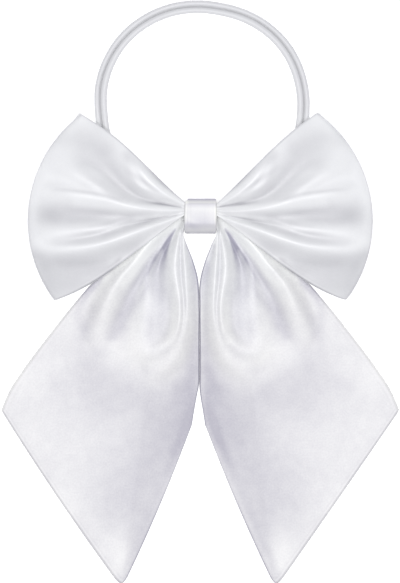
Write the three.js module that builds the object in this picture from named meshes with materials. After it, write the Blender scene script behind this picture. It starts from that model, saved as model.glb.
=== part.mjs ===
// Neck bow of white satin, lying flat with its front up.
// Millimetres. +X is the wearer's left in front view, +Y runs up the front, +Z stands off the surface
// that the bow lies on. The origin is the middle of the knot's flat back.
import * as THREE from 'three';

// Cloth
const CLOTH = 1.5;
const TAIL_CLOTH = 1.6;

// Knot: a short band of satin round the gathers
const KNOT_WIDTH = 16;
const KNOT_HEIGHT = 17.4;
const KNOT_DEPTH = 14;
const WRAP_WALL = 1.4;
const WRAP_BACK_RADIUS = 2.4;
const WRAP_TOP_RADIUS = 3.2;
const WRAP_LOWER_RADIUS = 5.2;
const WRAP_HEM_ROLL = 0.4;
const WRAP_ARC_STEPS = 4;
const WRAP_ROWS = [-1, -0.92, -0.4, 0.4, 0.92, 1];

// Where the gathered cloth enters the knot's sides
const WAIST_HALF = 8.15;
const LOOP_WAIST_TOP = 6.55;
const LOOP_WAIST_LOW = 0.3;

// The two sides are near mirror images. All but outward and topAngle are mm.
// Loop: topAngle is where its outer fold starts, in degrees, waistLift how much higher its upper edge
// leaves the knot, topBow how far that edge bows out, and topPeak and lowPeak how far its two corners
// are drawn out, or in where negative.
// Tail: pointOut is its point's distance out, outerBow and innerBow how far the two edges of its end bow
// out, innerShift how far its inner edge lies past the left one's mirror image, and cornerShift how much
// further its inner corner does.
const SIDES = {
  left: {
    outward: -1,
    topAngle: 53.4,
    waistLift: 0.2,
    topBow: 2.4,
    topPeak: 1.3,
    lowPeak: 0,
    pointOut: 39.2,
    outerBow: 1.6,
    innerBow: 1.3,
    innerShift: 0,
    cornerShift: 0,
  },
  right: {
    outward: 1,
    topAngle: 54.6,
    waistLift: -0.15,
    topBow: 1.7,
    topPeak: 0.4,
    lowPeak: -0.3,
    pointOut: 37.7,
    outerBow: 0.4,
    innerBow: 1.5,
    innerShift: -0.55,
    cornerShift: -1.1,
  },
};

// Loops: each outer fold is an arc about a centre beside the knot
const FOLD_CENTRE = { out: 20, up: -2.1 };
const FOLD_RADIUS = 65.5;
const FOLD_LOW_ANGLE = -37.2;
const LOW_EDGE_BOW = 3;
const NOSE_HEIGHT = 7.2;
const NOSE_FULLNESS = 10;
const DIRECTION_REACH = 0.6;
const BACK_FOLD_SHARE = 0.3;
const PANEL_CLEARANCE = 1.9;
const LOOP_CORNER_RADIUS = 6;

// Height of the loops' cloth above the surface, along the way from the knot to the outer fold.
// The middle row of each panel, and its upper and lower edge.
const LOOP_STATIONS = [0, 0.12, 0.3, 0.5, 0.75, 1];
const LOOP_HEIGHTS = {
  frontTop: [10.9, 11.8, 12.8, 13.2, 12.6, 11],
  frontMiddle: [10.9, 12.6, 15.2, 16.2, 15.2, 13],
  frontLow: [10.9, 11.5, 12.1, 12.2, 11.6, 10.6],
  backTop: [8.2, 7.5, 6, 5.1, 4.8, 4.6],
  backMiddle: [8.2, 7.4, 5.6, 4.8, 4.6, 4.4],
  backLow: [8.2, 8.7, 8.5, 7.2, 5.6, 4.9],
};

// Gathers of the loops. Each row has the fold's name, its place across the loop (0 on the upper and 1 on
// the lower edge) and its height in mm, both at the fold stations, and its half width in mm at the knot
// and at the outer fold.
const FOLD_STATIONS = [0, 0.12, 0.3, 0.6, 0.9];
const LOOP_FOLDS = [
  ['upper ridge', [0.22, 0.2, 0.135, 0.02, -0.05], [0.4, 1.5, 2.0, 0.6, 0], 0.9, 4],
  ['upper valley', [0.42, 0.42, 0.4, 0.24, 0.17], [-0.4, -1.6, -2.2, -1.6, -0.3], 1, 7],
  ['fork ridge', [0.5, 0.48, 0.46, 0.36, 0.29], [0, 0, 0.3, 1.2, 0.5], 1.2, 4],
  ['fork valley', [0.53, 0.51, 0.48, 0.4, 0.345], [0, 0, -0.2, -0.8, -0.2], 1, 3],
  ['middle ridge', [0.58, 0.55, 0.5, 0.43, 0.435], [0.4, 1.5, 1.8, 1.3, 0.6], 1, 4],
  ['wide valley', [0.68, 0.66, 0.62, 0.563, 0.56], [0, -0.4, -1.2, -2, -0.8], 1.5, 8],
  ['dark valley', [0.76, 0.757, 0.713, 0.7, 0.7], [-0.5, -1.7, -1.7, 0, 0], 0.7, 2],
  ['slim ridge', [0.8, 0.79, 0.735, 0.668, 0.66], [0, 0, 0.3, 0.9, 0.4], 1, 3],
  ['slim valley', [0.82, 0.8, 0.76, 0.715, 0.7], [0, 0, -0.3, -0.7, -0.3], 1, 2.5],
  ['main ridge', [0.9, 0.855, 0.833, 0.79, 0.725], [0.4, 1.5, 2.4, 2.4, 1.2], 0.9, 4],
  ['lower valley', [1, 0.99, 0.96, 0.9, 0.8], [0, -0.3, -0.8, -1.4, -0.6], 1.5, 8],
].map(([name, at, rise, near, far]) => ({ name, at, rise, near, far }));
const LOOP_REACH_STEPS = [
  0.05, 0.1, 0.16, 0.23, 0.31, 0.4, 0.5, 0.6, 0.7, 0.79, 0.87, 0.93, 0.97, 0.992, 1,
];
const LOOP_ROWS = 22;
const TURN_STEP = 1e-3;

// Tails: both long edges of the left tail, from the knot to the corners, as distances out from the
// centre line and up from the knot's middle
const TAIL_STATIONS = [0, 0.04, 0.1, 0.2, 0.3, 0.45, 0.6, 0.75, 0.88, 0.94, 1];
const TAIL_OUTER_EDGE = {
  out: [8.15, 11.4, 17, 27, 37, 52, 64.3, 76.7, 88.4, 94.8, 99.7],
  up: [0.9, -1.2, -4.8, -11, -18.5, -31.3, -45.3, -60.8, -76.4, -86, -96.8],
};
const TAIL_INNER_EDGE = {
  out: [8.15, 8.5, 6.6, 3.4, 1.3, 0.55, 0.52, 0.56, 2.15, 3.1, 4.25],
  up: [-6.7, -9.2, -14.5, -22.8, -32, -46, -61, -76, -90, -97, -104.2],
};
const TAIL_HEIGHTS = [5.6, 5.4, 4.8, 3.9, 3.0, 2.0, 1.25, 0.85, 0.85, 0.85, 0.85];
const TAIL_POINT_UP = -185;
const TAIL_POINT_ACROSS = 0.55;
const TAIL_TIP = { radius: 7, pull: 1.2 };
const TAIL_CORNER = { radius: 4, pull: 0.2 };

// Gathers of the tails, in the same form: at is 0 on the outer and 1 on the inner edge
const TAIL_FOLD_STATIONS = [0, 0.1, 0.2, 0.3, 0.4, 0.5, 0.65];
const TAIL_FOLDS = [
  ['outer valley', [0, 0, 0, 0.03, 0.05, 0.08, 0.13], [0, 0, -0.3, -0.8, -0.8, -0.7, 0], 1, 6],
  ['broad ridge', [0.06, 0.07, 0.09, 0.12, 0.13, 0.15, 0.17], [0.3, 1.4, 2.6, 3.2, 3, 2, 0], 1, 6],
  ['blunt valley', [0.19, 0.21, 0.25, 0.265, 0.25, 0.265, 0.26], [-0.3, -1.2, -1.4, -1.5, -1.4, -1, 0], 1, 7],
  ['thin ridge', [0.27, 0.295, 0.3, 0.3, 0.36, 0.4, 0.4], [0.2, 1.2, 1.8, 0.8, 0, 0, 0], 0.7, 3],
  ['deep wedge', [0.33, 0.33, 0.34, 0.42, 0.46, 0.5, 0.5], [-0.4, -2.2, -2.8, -1.6, -0.4, 0, 0], 0.9, 7],
  ['curled ridge', [0.5, 0.56, 0.61, 0.7, 0.79, 0.79, 0.7], [0.3, 1.6, 2.4, 2.8, 2.6, 1.6, 0], 1, 5],
  ['slit valley', [0.62, 0.68, 0.72, 0.77, 0.82, 0.85, 0.85], [-0.2, -0.9, -1, -1, -0.8, -0.3, 0], 0.6, 2],
  ['inner ridge', [0.74, 0.77, 0.77, 0.8, 0.865, 0.875, 0.8], [0.3, 1.6, 2.4, 2.8, 2.6, 1.6, 0], 0.9, 4],
].map(([name, at, rise, near, far]) => ({ name, at, rise, near, far }));
const TAIL_REACH_STEPS = [
  0, 0.04, 0.08, 0.12, 0.165, 0.21, 0.26, 0.31, 0.36, 0.41, 0.46, 0.51, 0.57, 0.64, 0.72, 0.8, 0.88,
  0.95, 0.985, 1,
];
const TAIL_ROW_STEPS = [
  0, 0.03, 0.07, 0.11, 0.16, 0.21, 0.26, 0.31, 0.37, 0.43, 0.49, 0.55, 0.61, 0.67, 0.73, 0.79, 0.85,
  0.92, 1,
];
const TAIL_END_IN_KNOT = 0.4;
const TAIL_SHIFT_FULL = 0.1;
const CORNER_SHIFT_FROM = 0.72;
const CORNER_SHIFT_FULL = 0.9;
const TAIL_REST = 0.02;

// Neck band: a folded, satin-covered elastic, spread in a slightly squared circle, its lowest stretch
// held in the knot
const BAND_RADIUS = 51.1;
const BAND_SQUARENESS = 0.5;
const BAND_WIDTH = 5.9;
const BAND_THICKNESS = 2.4;
const BAND_GROOVE = 0.7;
const BAND_SHIFT = 0.6;
const BAND_CENTRE_UP = 54.4;
const BAND_LIFT = 1.75;
const BAND_DIP = 1.2;
const BAND_LIFT_FULL = 10;
const BAND_LIFT_NONE = 27;
const BAND_STEPS = 72;

const satin = (color) => new THREE.MeshStandardMaterial({ color, roughness: 0.38, metalness: 0 });

// A smooth curve through the values, read at any place on its stations
function along(stations, values, place) {
  const last = stations.length - 1;
  const x = Math.min(Math.max(place, stations[0]), stations[last]);
  let i = 0;
  while (i < last - 1 && x > stations[i + 1]) i += 1;
  const slope = (k) => {
    const a = Math.max(k - 1, 0);
    const b = Math.min(k + 1, last);
    return (values[b] - values[a]) / (stations[b] - stations[a]);
  };
  const step = stations[i + 1] - stations[i];
  const t = (x - stations[i]) / step;
  const start = (1 + 2 * t) * (1 - t) ** 2 * values[i] + t * (1 - t) ** 2 * step * slope(i);
  const end = t * t * (3 - 2 * t) * values[i + 1] + t * t * (t - 1) * step * slope(i + 1);
  return start + end;
}

function smoothstep(from, to, x) {
  const t = Math.min(Math.max((x - from) / (to - from), 0), 1);
  return t * t * (3 - 2 * t);
}

// Sum of the folds at a place: each is a soft ridge or valley, as wide as its row says
function gathers(folds, stations, reach, across, span) {
  let height = 0;
  for (const fold of folds) {
    const width = fold.near + (fold.far - fold.near) * reach;
    const away = (across - along(stations, fold.at, reach)) * span;
    height += along(stations, fold.rise, reach) * Math.exp(-0.5 * (away / width) ** 2);
  }
  return height;
}

// Draws a corner of a plan out, or in where pull is negative, with the points round it
function drawn(point, corner, direction, radius, pull) {
  const nearness = Math.max(0, 1 - point.distanceTo(corner) / radius);
  return point.clone().addScaledVector(direction, pull * nearness * nearness);
}

// Closed solid between two grids of points that face each other. A cyclic grid joins its last
// column to its first, and an open one is closed at both ends.
function slab(top, bottom, cyclic) {
  const columns = top.length;
  const rows = top[0].length;
  const positions = [];
  for (const p of [...top, ...bottom].flat()) positions.push(p.x, p.y, p.z);
  const index = [];
  const upper = (i, j) => (i % columns) * rows + j;
  const lower = (i, j) => columns * rows + upper(i, j);
  const quad = (a, b, c, d) => index.push(a, b, c, a, c, d);
  const last = cyclic ? columns : columns - 1;
  for (let i = 0; i < last; i += 1) {
    for (let j = 0; j < rows - 1; j += 1) {
      quad(upper(i, j), upper(i + 1, j), upper(i + 1, j + 1), upper(i, j + 1));
      quad(lower(i, j), lower(i, j + 1), lower(i + 1, j + 1), lower(i + 1, j));
    }
    quad(upper(i, 0), lower(i, 0), lower(i + 1, 0), upper(i + 1, 0));
    quad(upper(i, rows - 1), upper(i + 1, rows - 1), lower(i + 1, rows - 1), lower(i, rows - 1));
  }
  if (!cyclic) {
    for (let j = 0; j < rows - 1; j += 1) {
      quad(upper(0, j), upper(0, j + 1), lower(0, j + 1), lower(0, j));
      quad(upper(last, j), lower(last, j), lower(last, j + 1), upper(last, j + 1));
    }
  }
  return facingOut(positions, index);
}

// Turns the triangles round where they enclose a negative volume
function facingOut(positions, index) {
  const corner = (k) => new THREE.Vector3().fromArray(positions, 3 * k);
  let volume = 0;
  for (let k = 0; k < index.length; k += 3) {
    volume += corner(index[k]).dot(corner(index[k + 1]).cross(corner(index[k + 2])));
  }
  if (volume < 0) index.reverse();
  const geometry = new THREE.BufferGeometry();
  geometry.setAttribute('position', new THREE.Float32BufferAttribute(positions, 3));
  geometry.setIndex(index);
  geometry.computeVertexNormals();
  return geometry;
}

function piece(name, geometry, color) {
  const mesh = new THREE.Mesh(geometry, satin(color));
  mesh.name = name;
  return mesh;
}

// Loops: plan and height of one half, mirrored for the other

function polar(degrees) {
  const angle = THREE.MathUtils.degToRad(degrees);
  return new THREE.Vector2(
    FOLD_CENTRE.out + FOLD_RADIUS * Math.cos(angle),
    FOLD_CENTRE.up + FOLD_RADIUS * Math.sin(angle),
  );
}

// A negative reach lies inside the knot, from -1 at its middle to 0 at its side
function loopPlan(side, reach, across) {
  const { topAngle, waistLift, topBow, topPeak, lowPeak } = SIDES[side];
  const waistTop = LOOP_WAIST_TOP + waistLift * (1 + Math.min(reach, 0));
  const waist = new THREE.Vector2(WAIST_HALF, waistTop + (LOOP_WAIST_LOW - waistTop) * across);
  if (reach <= 0) return waist.setX(WAIST_HALF * (1 + reach));
  const rim = polar(topAngle + (FOLD_LOW_ANGLE - topAngle) * across);
  const ray = rim.clone().sub(waist);
  const sideways = new THREE.Vector2(-ray.y, ray.x).normalize();
  // The bow of a row peaks at two thirds of the way, where the cubic below is 1
  const bow = (topBow * (1 - across) - LOW_EDGE_BOW * across) * (27 / 4) * reach ** 2 * (1 - reach);
  const place = waist.addScaledVector(ray, reach).addScaledVector(sideways, bow);
  const corner = polar(across < 0.5 ? topAngle : FOLD_LOW_ANGLE);
  const outward = corner.clone().sub(new THREE.Vector2(FOLD_CENTRE.out, FOLD_CENTRE.up)).normalize();
  return drawn(place, corner, outward, LOOP_CORNER_RADIUS, across < 0.5 ? topPeak : lowPeak);
}

// Height of a panel: a lens across, from the edge rows through the middle row
function panelHeight(panel, reach, across) {
  const s = Math.max(reach, 0);
  const middle = along(LOOP_STATIONS, LOOP_HEIGHTS[`${panel}Middle`], s);
  const edge = along(LOOP_STATIONS, LOOP_HEIGHTS[panel + (across < 0.5 ? 'Top' : 'Low')], s);
  return middle + (edge - middle) * (2 * across - 1) ** 2;
}

// Middle of the loop's cloth. turn runs from 1 at the knot's side on the front, through 0 on the outer
// fold, to -1 at the knot's side on the back, and on to 2 and -2 at the knot's middle.
function loopMiddle(side, turn, across) {
  const reach = Math.abs(turn) > 1 ? 1 - Math.abs(turn) : 1 - turn * turn;
  const s = Math.max(reach, 0);
  const plan = loopPlan(side, reach, across);
  const span = loopPlan(side, s, 0).distanceTo(loopPlan(side, s, 1));
  const folds = gathers(LOOP_FOLDS, FOLD_STATIONS, s, across, span);
  const back = panelHeight('back', reach, across) - BACK_FOLD_SHARE * folds;
  const front = Math.max(panelHeight('front', reach, across) + folds, back + PANEL_CLEARANCE);
  const fullness = Math.sqrt(1 - s ** NOSE_FULLNESS);
  const height = NOSE_HEIGHT + ((turn >= 0 ? front : back) - NOSE_HEIGHT) * fullness;
  return { plan, height };
}

// Point of the loop's outer or inner face: the middle, offset at a right angle to the path that the
// cloth takes round the loop
function loopPoint(side, turn, across, offset) {
  const ahead = loopMiddle(side, turn - TURN_STEP, across);
  const behind = loopMiddle(side, turn + TURN_STEP, across);
  const here = loopMiddle(side, turn, across);
  const run = ahead.plan.clone().sub(behind.plan);
  const rise = ahead.height - behind.height;
  const radial = loopPlan(side, DIRECTION_REACH, across).sub(loopPlan(side, 0, across)).normalize();
  if (Math.abs(turn) > 1) radial.set(1, 0);
  const forward = run.dot(radial);
  const length = Math.hypot(forward, rise);
  const atMiddle = Math.abs(turn) === 2;
  const sideways = atMiddle ? 0 : (-rise / length) * offset;
  const upward = atMiddle ? Math.sign(turn) * offset : (forward / length) * offset;
  const plan = here.plan.addScaledVector(radial, sideways);
  return new THREE.Vector3(SIDES[side].outward * plan.x, plan.y, here.height + upward);
}

function bowLoops() {
  const outwards = [2, 1.5, 1, ...LOOP_REACH_STEPS.map((reach) => Math.sqrt(1 - reach))];
  const turns = [...outwards, ...outwards.slice(0, -1).reverse().map((turn) => -turn)];
  const stops = [
    ...turns.map((turn) => ['left', turn]),
    ...turns.slice(1, -1).reverse().map((turn) => ['right', turn]),
  ];
  const grid = (offset) => stops.map(([side, turn]) => {
    const column = [];
    for (let j = 0; j <= LOOP_ROWS; j += 1) column.push(loopPoint(side, turn, j / LOOP_ROWS, offset));
    return column;
  });
  return slab(grid(CLOTH / 2), grid(-CLOTH / 2), true);
}

// Tails

// Outer and inner edge of the tail at a reach from the knot
function tailEdges(side, reach) {
  const { innerShift, cornerShift } = SIDES[side];
  const read = (values) => along(TAIL_STATIONS, values, reach);
  const edge = ({ out, up }) => new THREE.Vector2(read(out), read(up));
  const inner = edge(TAIL_INNER_EDGE);
  inner.x += innerShift * smoothstep(0, TAIL_SHIFT_FULL, reach);
  inner.x += cornerShift * smoothstep(CORNER_SHIFT_FROM, CORNER_SHIFT_FULL, reach);
  return { outer: edge(TAIL_OUTER_EDGE), inner };
}

// Point of the tail's end: two slightly bowed edges, from the outer corner to the tip to the inner corner
function tailEnd(side, across) {
  const { outer, inner } = tailEdges(side, 1);
  const { pointOut, outerBow, innerBow } = SIDES[side];
  const tip = new THREE.Vector2(pointOut, TAIL_POINT_UP);
  const beforeTip = across < TAIL_POINT_ACROSS;
  const [from, to] = beforeTip ? [outer, tip] : [tip, inner];
  const start = beforeTip ? 0 : TAIL_POINT_ACROSS;
  const share = beforeTip ? TAIL_POINT_ACROSS : 1 - TAIL_POINT_ACROSS;
  const t = (across - start) / share;
  const bow = (beforeTip ? outerBow : innerBow) * 4 * t * (1 - t);
  const run = to.clone().sub(from);
  const proud = new THREE.Vector2(-run.y, run.x).normalize();
  return { point: from.clone().addScaledVector(run, t).addScaledVector(proud, bow), outer, inner, tip };
}

function tailPlan(side, reach, across) {
  const { point, outer, inner, tip } = tailEnd(side, across);
  const straight = outer.clone().lerp(inner, across);
  const edges = tailEdges(side, reach);
  const place = edges.outer.lerp(edges.inner, across).addScaledVector(point.sub(straight), reach * reach);
  const middle = outer.clone().add(inner).multiplyScalar(0.5);
  const inward = (corner) => middle.clone().sub(corner).normalize();
  const tipDrawn = drawn(place, tip, inward(tip), TAIL_TIP.radius, TAIL_TIP.pull);
  return drawn(tipDrawn, outer, inward(outer), TAIL_CORNER.radius, TAIL_CORNER.pull);
}

function tailHeight(side, reach, across) {
  const span = tailPlan(side, reach, 0).distanceTo(tailPlan(side, reach, 1));
  const folds = gathers(TAIL_FOLDS, TAIL_FOLD_STATIONS, reach, across, span);
  return Math.max(along(TAIL_STATIONS, TAIL_HEIGHTS, reach) + folds, TAIL_CLOTH / 2 + TAIL_REST);
}

function tail(side) {
  const grid = (offset) => [-1, ...TAIL_REACH_STEPS].map((step) => TAIL_ROW_STEPS.map((across) => {
    const reach = Math.max(step, 0);
    const plan = tailPlan(side, reach, across);
    if (step < 0) plan.setX(TAIL_END_IN_KNOT);
    return new THREE.Vector3(SIDES[side].outward * plan.x, plan.y, tailHeight(side, reach, across) + offset);
  }));
  return slab(grid(TAIL_CLOTH / 2), grid(-TAIL_CLOTH / 2), false);
}

// Knot: a rounded box section in the YZ plane, bent into a band round the X axis

function knotSection(inset) {
  const corners = [
    { y: 1, z: 0, radius: WRAP_BACK_RADIUS, start: -90 },
    { y: 1, z: 1, radius: WRAP_TOP_RADIUS, start: 0 },
    { y: -1, z: 1, radius: WRAP_LOWER_RADIUS, start: 90 },
    { y: -1, z: 0, radius: WRAP_BACK_RADIUS, start: 180 },
  ];
  const points = [];
  for (const corner of corners) {
    const centreUp = corner.y * (KNOT_HEIGHT / 2 - corner.radius);
    const centreOff = corner.z ? KNOT_DEPTH - corner.radius : corner.radius;
    for (let k = 0; k <= WRAP_ARC_STEPS; k += 1) {
      const angle = THREE.MathUtils.degToRad(corner.start + (90 * k) / WRAP_ARC_STEPS);
      const radius = corner.radius - inset;
      const up = centreUp + radius * Math.cos(angle);
      points.push(new THREE.Vector2(up, centreOff + radius * Math.sin(angle)));
    }
  }
  return points;
}

function knotWrap() {
  const grid = (inset) => {
    const flat = knotSection(inset);
    return flat.map((_, i) => WRAP_ROWS.map((row) => {
      const rolled = inset === 0 && Math.abs(row) === 1 ? WRAP_HEM_ROLL : 0;
      const p = rolled ? knotSection(rolled)[i] : flat[i];
      return new THREE.Vector3((row * KNOT_WIDTH) / 2, p.x, p.y);
    }));
  };
  return slab(grid(0), grid(WRAP_WALL), true);
}

// Neck band: a section of two rolled edges with a groove between, carried round the circle

// Half of the section, from the middle of its back round its edge to the groove, as shares of half the
// width and of the thickness
const BAND_HALF_SECTION = [
  { out: 0.85, up: 0 },
  { out: 1, up: 0.35 },
  { out: 1, up: 0.7 },
  { out: 0.72, up: 1 },
  { out: 0.3, up: 1 },
];

function bandSection() {
  const half = BAND_HALF_SECTION.map(({ out, up }) => [(out * BAND_WIDTH) / 2, up * BAND_THICKNESS]);
  const mirrored = half.map(([out, up]) => [-out, up]).reverse();
  return [...half, [0, BAND_THICKNESS - BAND_GROOVE], ...mirrored];
}

function neckBand() {
  const section = bandSection();
  const positions = [];
  const index = [];
  for (let i = 0; i < BAND_STEPS; i += 1) {
    const angle = (2 * Math.PI * i) / BAND_STEPS;
    for (const [out, up] of section) {
      const radius = BAND_RADIUS + out - BAND_SQUARENESS * Math.cos(4 * angle);
      const x = BAND_SHIFT + radius * Math.sin(angle);
      const nearKnot = Math.cos(angle) > 0 ? 1 - smoothstep(BAND_LIFT_FULL, BAND_LIFT_NONE, Math.abs(x)) : 0;
      const y = BAND_CENTRE_UP - radius * Math.cos(angle) - BAND_DIP * nearKnot;
      positions.push(x, y, up + BAND_LIFT * nearKnot);
    }
  }
  const count = section.length;
  const at = (i, j) => (i % BAND_STEPS) * count + (j % count);
  for (let i = 0; i < BAND_STEPS; i += 1) {
    for (let j = 0; j < count; j += 1) {
      index.push(at(i, j), at(i + 1, j), at(i + 1, j + 1), at(i, j), at(i + 1, j + 1), at(i, j + 1));
    }
  }
  return facingOut(positions, index);
}

const neckBow = new THREE.Group();
neckBow.add(
  piece('bow_loops', bowLoops(), 0xeeeef4),
  piece('left_tail', tail('left'), 0xe9e9f0),
  piece('right_tail', tail('right'), 0xe9e9f0),
  piece('knot_wrap', knotWrap(), 0xf2f2f7),
  piece('neck_band', neckBand(), 0xe2e2e8),
);

export default neckBow;
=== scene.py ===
"""The look of a white satin neck bow, lying flat with its front up.

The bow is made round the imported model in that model's own frame: +X to the right of the front view, +Y
up the front and +Z off the surface that the bow lies on, with the origin at the middle of the knot's
back. Sizes are millimetres until a mesh is made, which is in metres.
"""

import logging
import math
from dataclasses import dataclass
from enum import Enum
from typing import Any

import bpy
import numpy as np
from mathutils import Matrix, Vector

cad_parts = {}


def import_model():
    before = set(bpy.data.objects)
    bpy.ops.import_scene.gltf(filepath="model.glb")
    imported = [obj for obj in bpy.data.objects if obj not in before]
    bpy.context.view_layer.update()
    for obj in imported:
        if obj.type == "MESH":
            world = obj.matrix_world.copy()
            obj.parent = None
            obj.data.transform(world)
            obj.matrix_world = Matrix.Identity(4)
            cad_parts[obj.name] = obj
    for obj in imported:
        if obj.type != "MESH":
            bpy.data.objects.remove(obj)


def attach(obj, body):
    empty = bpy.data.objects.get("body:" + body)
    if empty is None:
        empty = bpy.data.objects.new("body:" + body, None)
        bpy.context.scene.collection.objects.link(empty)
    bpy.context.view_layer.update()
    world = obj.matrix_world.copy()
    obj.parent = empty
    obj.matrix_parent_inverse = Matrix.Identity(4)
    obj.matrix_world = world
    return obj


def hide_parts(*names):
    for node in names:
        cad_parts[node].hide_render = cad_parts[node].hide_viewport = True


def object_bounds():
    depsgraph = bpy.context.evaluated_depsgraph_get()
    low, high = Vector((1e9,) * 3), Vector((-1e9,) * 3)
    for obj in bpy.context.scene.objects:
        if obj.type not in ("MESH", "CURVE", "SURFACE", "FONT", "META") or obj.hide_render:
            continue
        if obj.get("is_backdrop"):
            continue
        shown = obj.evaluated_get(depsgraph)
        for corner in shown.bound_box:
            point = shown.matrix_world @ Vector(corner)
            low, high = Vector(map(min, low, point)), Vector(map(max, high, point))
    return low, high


Array = np.ndarray
Colour = tuple[float, float, float]

MM = 0.001
BODY = "root"

log = logging.getLogger("neck_bow")


# Curves and soft steps


def spline(stations: tuple[float, ...], values: tuple[float, ...], places: Array) -> Array:
    """Reads a smooth curve through the values at any places.

    Cubic pieces join the values, and the slope at each value is that of the line between its two
    neighbours.

    Args:
        stations: The places of the values, rising.
        values: The values there.
        places: Where to read the curve. Outside the stations the end values hold.

    Returns:
        The curve's values, in the shape of places.
    """
    x, y = np.asarray(stations, float), np.asarray(values, float)
    before = np.maximum(np.arange(len(x)) - 1, 0)
    after = np.minimum(np.arange(len(x)) + 1, len(x) - 1)
    slope = (y[after] - y[before]) / (x[after] - x[before])
    at = np.clip(places, x[0], x[-1])
    i = np.clip(np.searchsorted(x, at, side="right") - 1, 0, len(x) - 2)
    step = x[i + 1] - x[i]
    t = (at - x[i]) / step
    start = (1 + 2 * t) * (1 - t) ** 2 * y[i] + t * (1 - t) ** 2 * step * slope[i]
    end = t * t * (3 - 2 * t) * y[i + 1] + t * t * (t - 1) * step * slope[i + 1]
    return start + end


def smoothstep(low: float, high: float, x: Array) -> Array:
    """Rises smoothly from 0 at low to 1 at high, as 3t² - 2t³."""
    t = np.clip((x - low) / (high - low), 0, 1)
    return t * t * (3 - 2 * t)


def unit(vectors: Array) -> Array:
    """Scales the vectors on the last axis to a length of 1."""
    return vectors / np.linalg.norm(vectors, axis=-1, keepdims=True)


def drawn(points: Array, corner: Array, direction: Array, radius: float, pull: float) -> Array:
    """Draws a corner of a plan along a direction, with the points round it, which move by the square of
    their nearness to it.

    Args:
        points: Plan points, with out and up on the last axis.
        corner: The corner.
        direction: Where it is drawn to.
        radius: How far from the corner points still move.
        pull: The move at the corner itself. A negative one is the other way.

    Returns:
        The moved points.
    """
    nearness = np.clip(1 - np.linalg.norm(points - corner, axis=-1, keepdims=True) / radius, 0, None)
    return points + unit(direction) * pull * nearness**2


# Folds


@dataclass(frozen=True)
class Fold:
    """One gather, which runs outwards from the knot.

    Attributes:
        name: What the fold is called.
        at: Its place across the cloth at each station, 0 on one edge and 1 on the other.
        rise: Its height at each station, in mm. A valley's is negative.
        near: Its half width at the knot, in mm.
        far: Its half width at the far end, in mm.
        lean: How much broader its flank towards 0 is than the other, as a share of the half width.
    """

    name: str
    at: tuple[float, ...]
    rise: tuple[float, ...]
    near: float
    far: float
    lean: float = 0.0

    def height(self, stations: tuple[float, ...], reach: Array, across: Array, span: Array) -> Array:
        """Height of the fold: its rise times a bell curve of the distance from its crest.

        Args:
            stations: The reaches where at and rise are given.
            reach: Share of the way from the knot to the far end.
            across: Share of the way across the cloth.
            span: Breadth of the cloth there, in mm.

        Returns:
            The height in mm.
        """
        width = self.near + (self.far - self.near) * reach
        away = (across - spline(stations, self.at, reach)) * span
        width = width * np.where(away < 0, 1 + self.lean, 1 - self.lean)
        return spline(stations, self.rise, reach) * np.exp(-0.5 * (away / width) ** 2)


@dataclass(frozen=True)
class Stroke:
    """A ridge, or a painted shade or highlight in the colour, that runs along a free path in the plan.

    Attributes:
        name: What it is called.
        out: Distances of the path's points from the centre line, in mm. Only on the knot are some to the
            left of it, and negative.
        up: Their distances up from the knot's middle, in mm.
        strength: Its height at each point in mm, or its step towards the deep colour: painted shade
        where positive, painted highlight where negative.
        width: Its half width at each point, in mm.
        lean: How much broader its left flank is than its right one, looking along the path.
        steps: How many straight pieces stand for the path.
    """

    name: str
    out: tuple[float, ...]
    up: tuple[float, ...]
    strength: tuple[float, ...]
    width: tuple[float, ...]
    lean: float = 0.0
    steps: int = 30

    def path(self) -> Array:
        """Even points along the path, each column a smooth curve through its given values.

        Returns:
            Rows of out, up, strength and width.
        """
        stations = tuple(range(len(self.out)))
        places = np.linspace(0, len(self.out) - 1, self.steps + 1)
        columns = self.out, self.up, self.strength, self.width
        return np.stack([spline(stations, column, places) for column in columns], axis=-1)

    def height(self, plan: Array) -> Array:
        """Strength at the plan points: that of the nearest point of the path, times a bell curve of the
        distance from it.

        Args:
            plan: Plan points, with out and up on the last axis.

        Returns:
            The strength at each point.
        """
        path = self.path()
        best = np.full(plan.shape[:-1], np.inf)
        found = np.zeros(plan.shape[:-1])
        for start, end in zip(path[:-1], path[1:]):
            run = end[:2] - start[:2]
            gap = plan - start[:2]
            t = np.clip((gap @ run) / (run @ run), 0, 1)
            away = np.linalg.norm(gap - t[..., None] * run, axis=-1)
            left = np.sign(run[0] * gap[..., 1] - run[1] * gap[..., 0])
            strength, width = (start[k] + (end[k] - start[k]) * t for k in (2, 3))
            bell = np.exp(-0.5 * (away / (width * (1 + self.lean * left))) ** 2)
            found = np.where(away < best, strength * bell, found)
            best = np.minimum(best, away)
        return found


def layered(strokes: tuple[Stroke, ...], plan: Array) -> Array:
    """Adds up the strokes at the plan points."""
    return sum(stroke.height(plan) for stroke in strokes)


def gathers(
    folds: tuple[Fold, ...], stations: tuple[float, ...], reach: Array, across: Array, span: Array
) -> Array:
    """Adds up the heights of the folds. See Fold.height for the arguments."""
    return sum(fold.height(stations, reach, across, span) for fold in folds)


# Meshes


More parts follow.
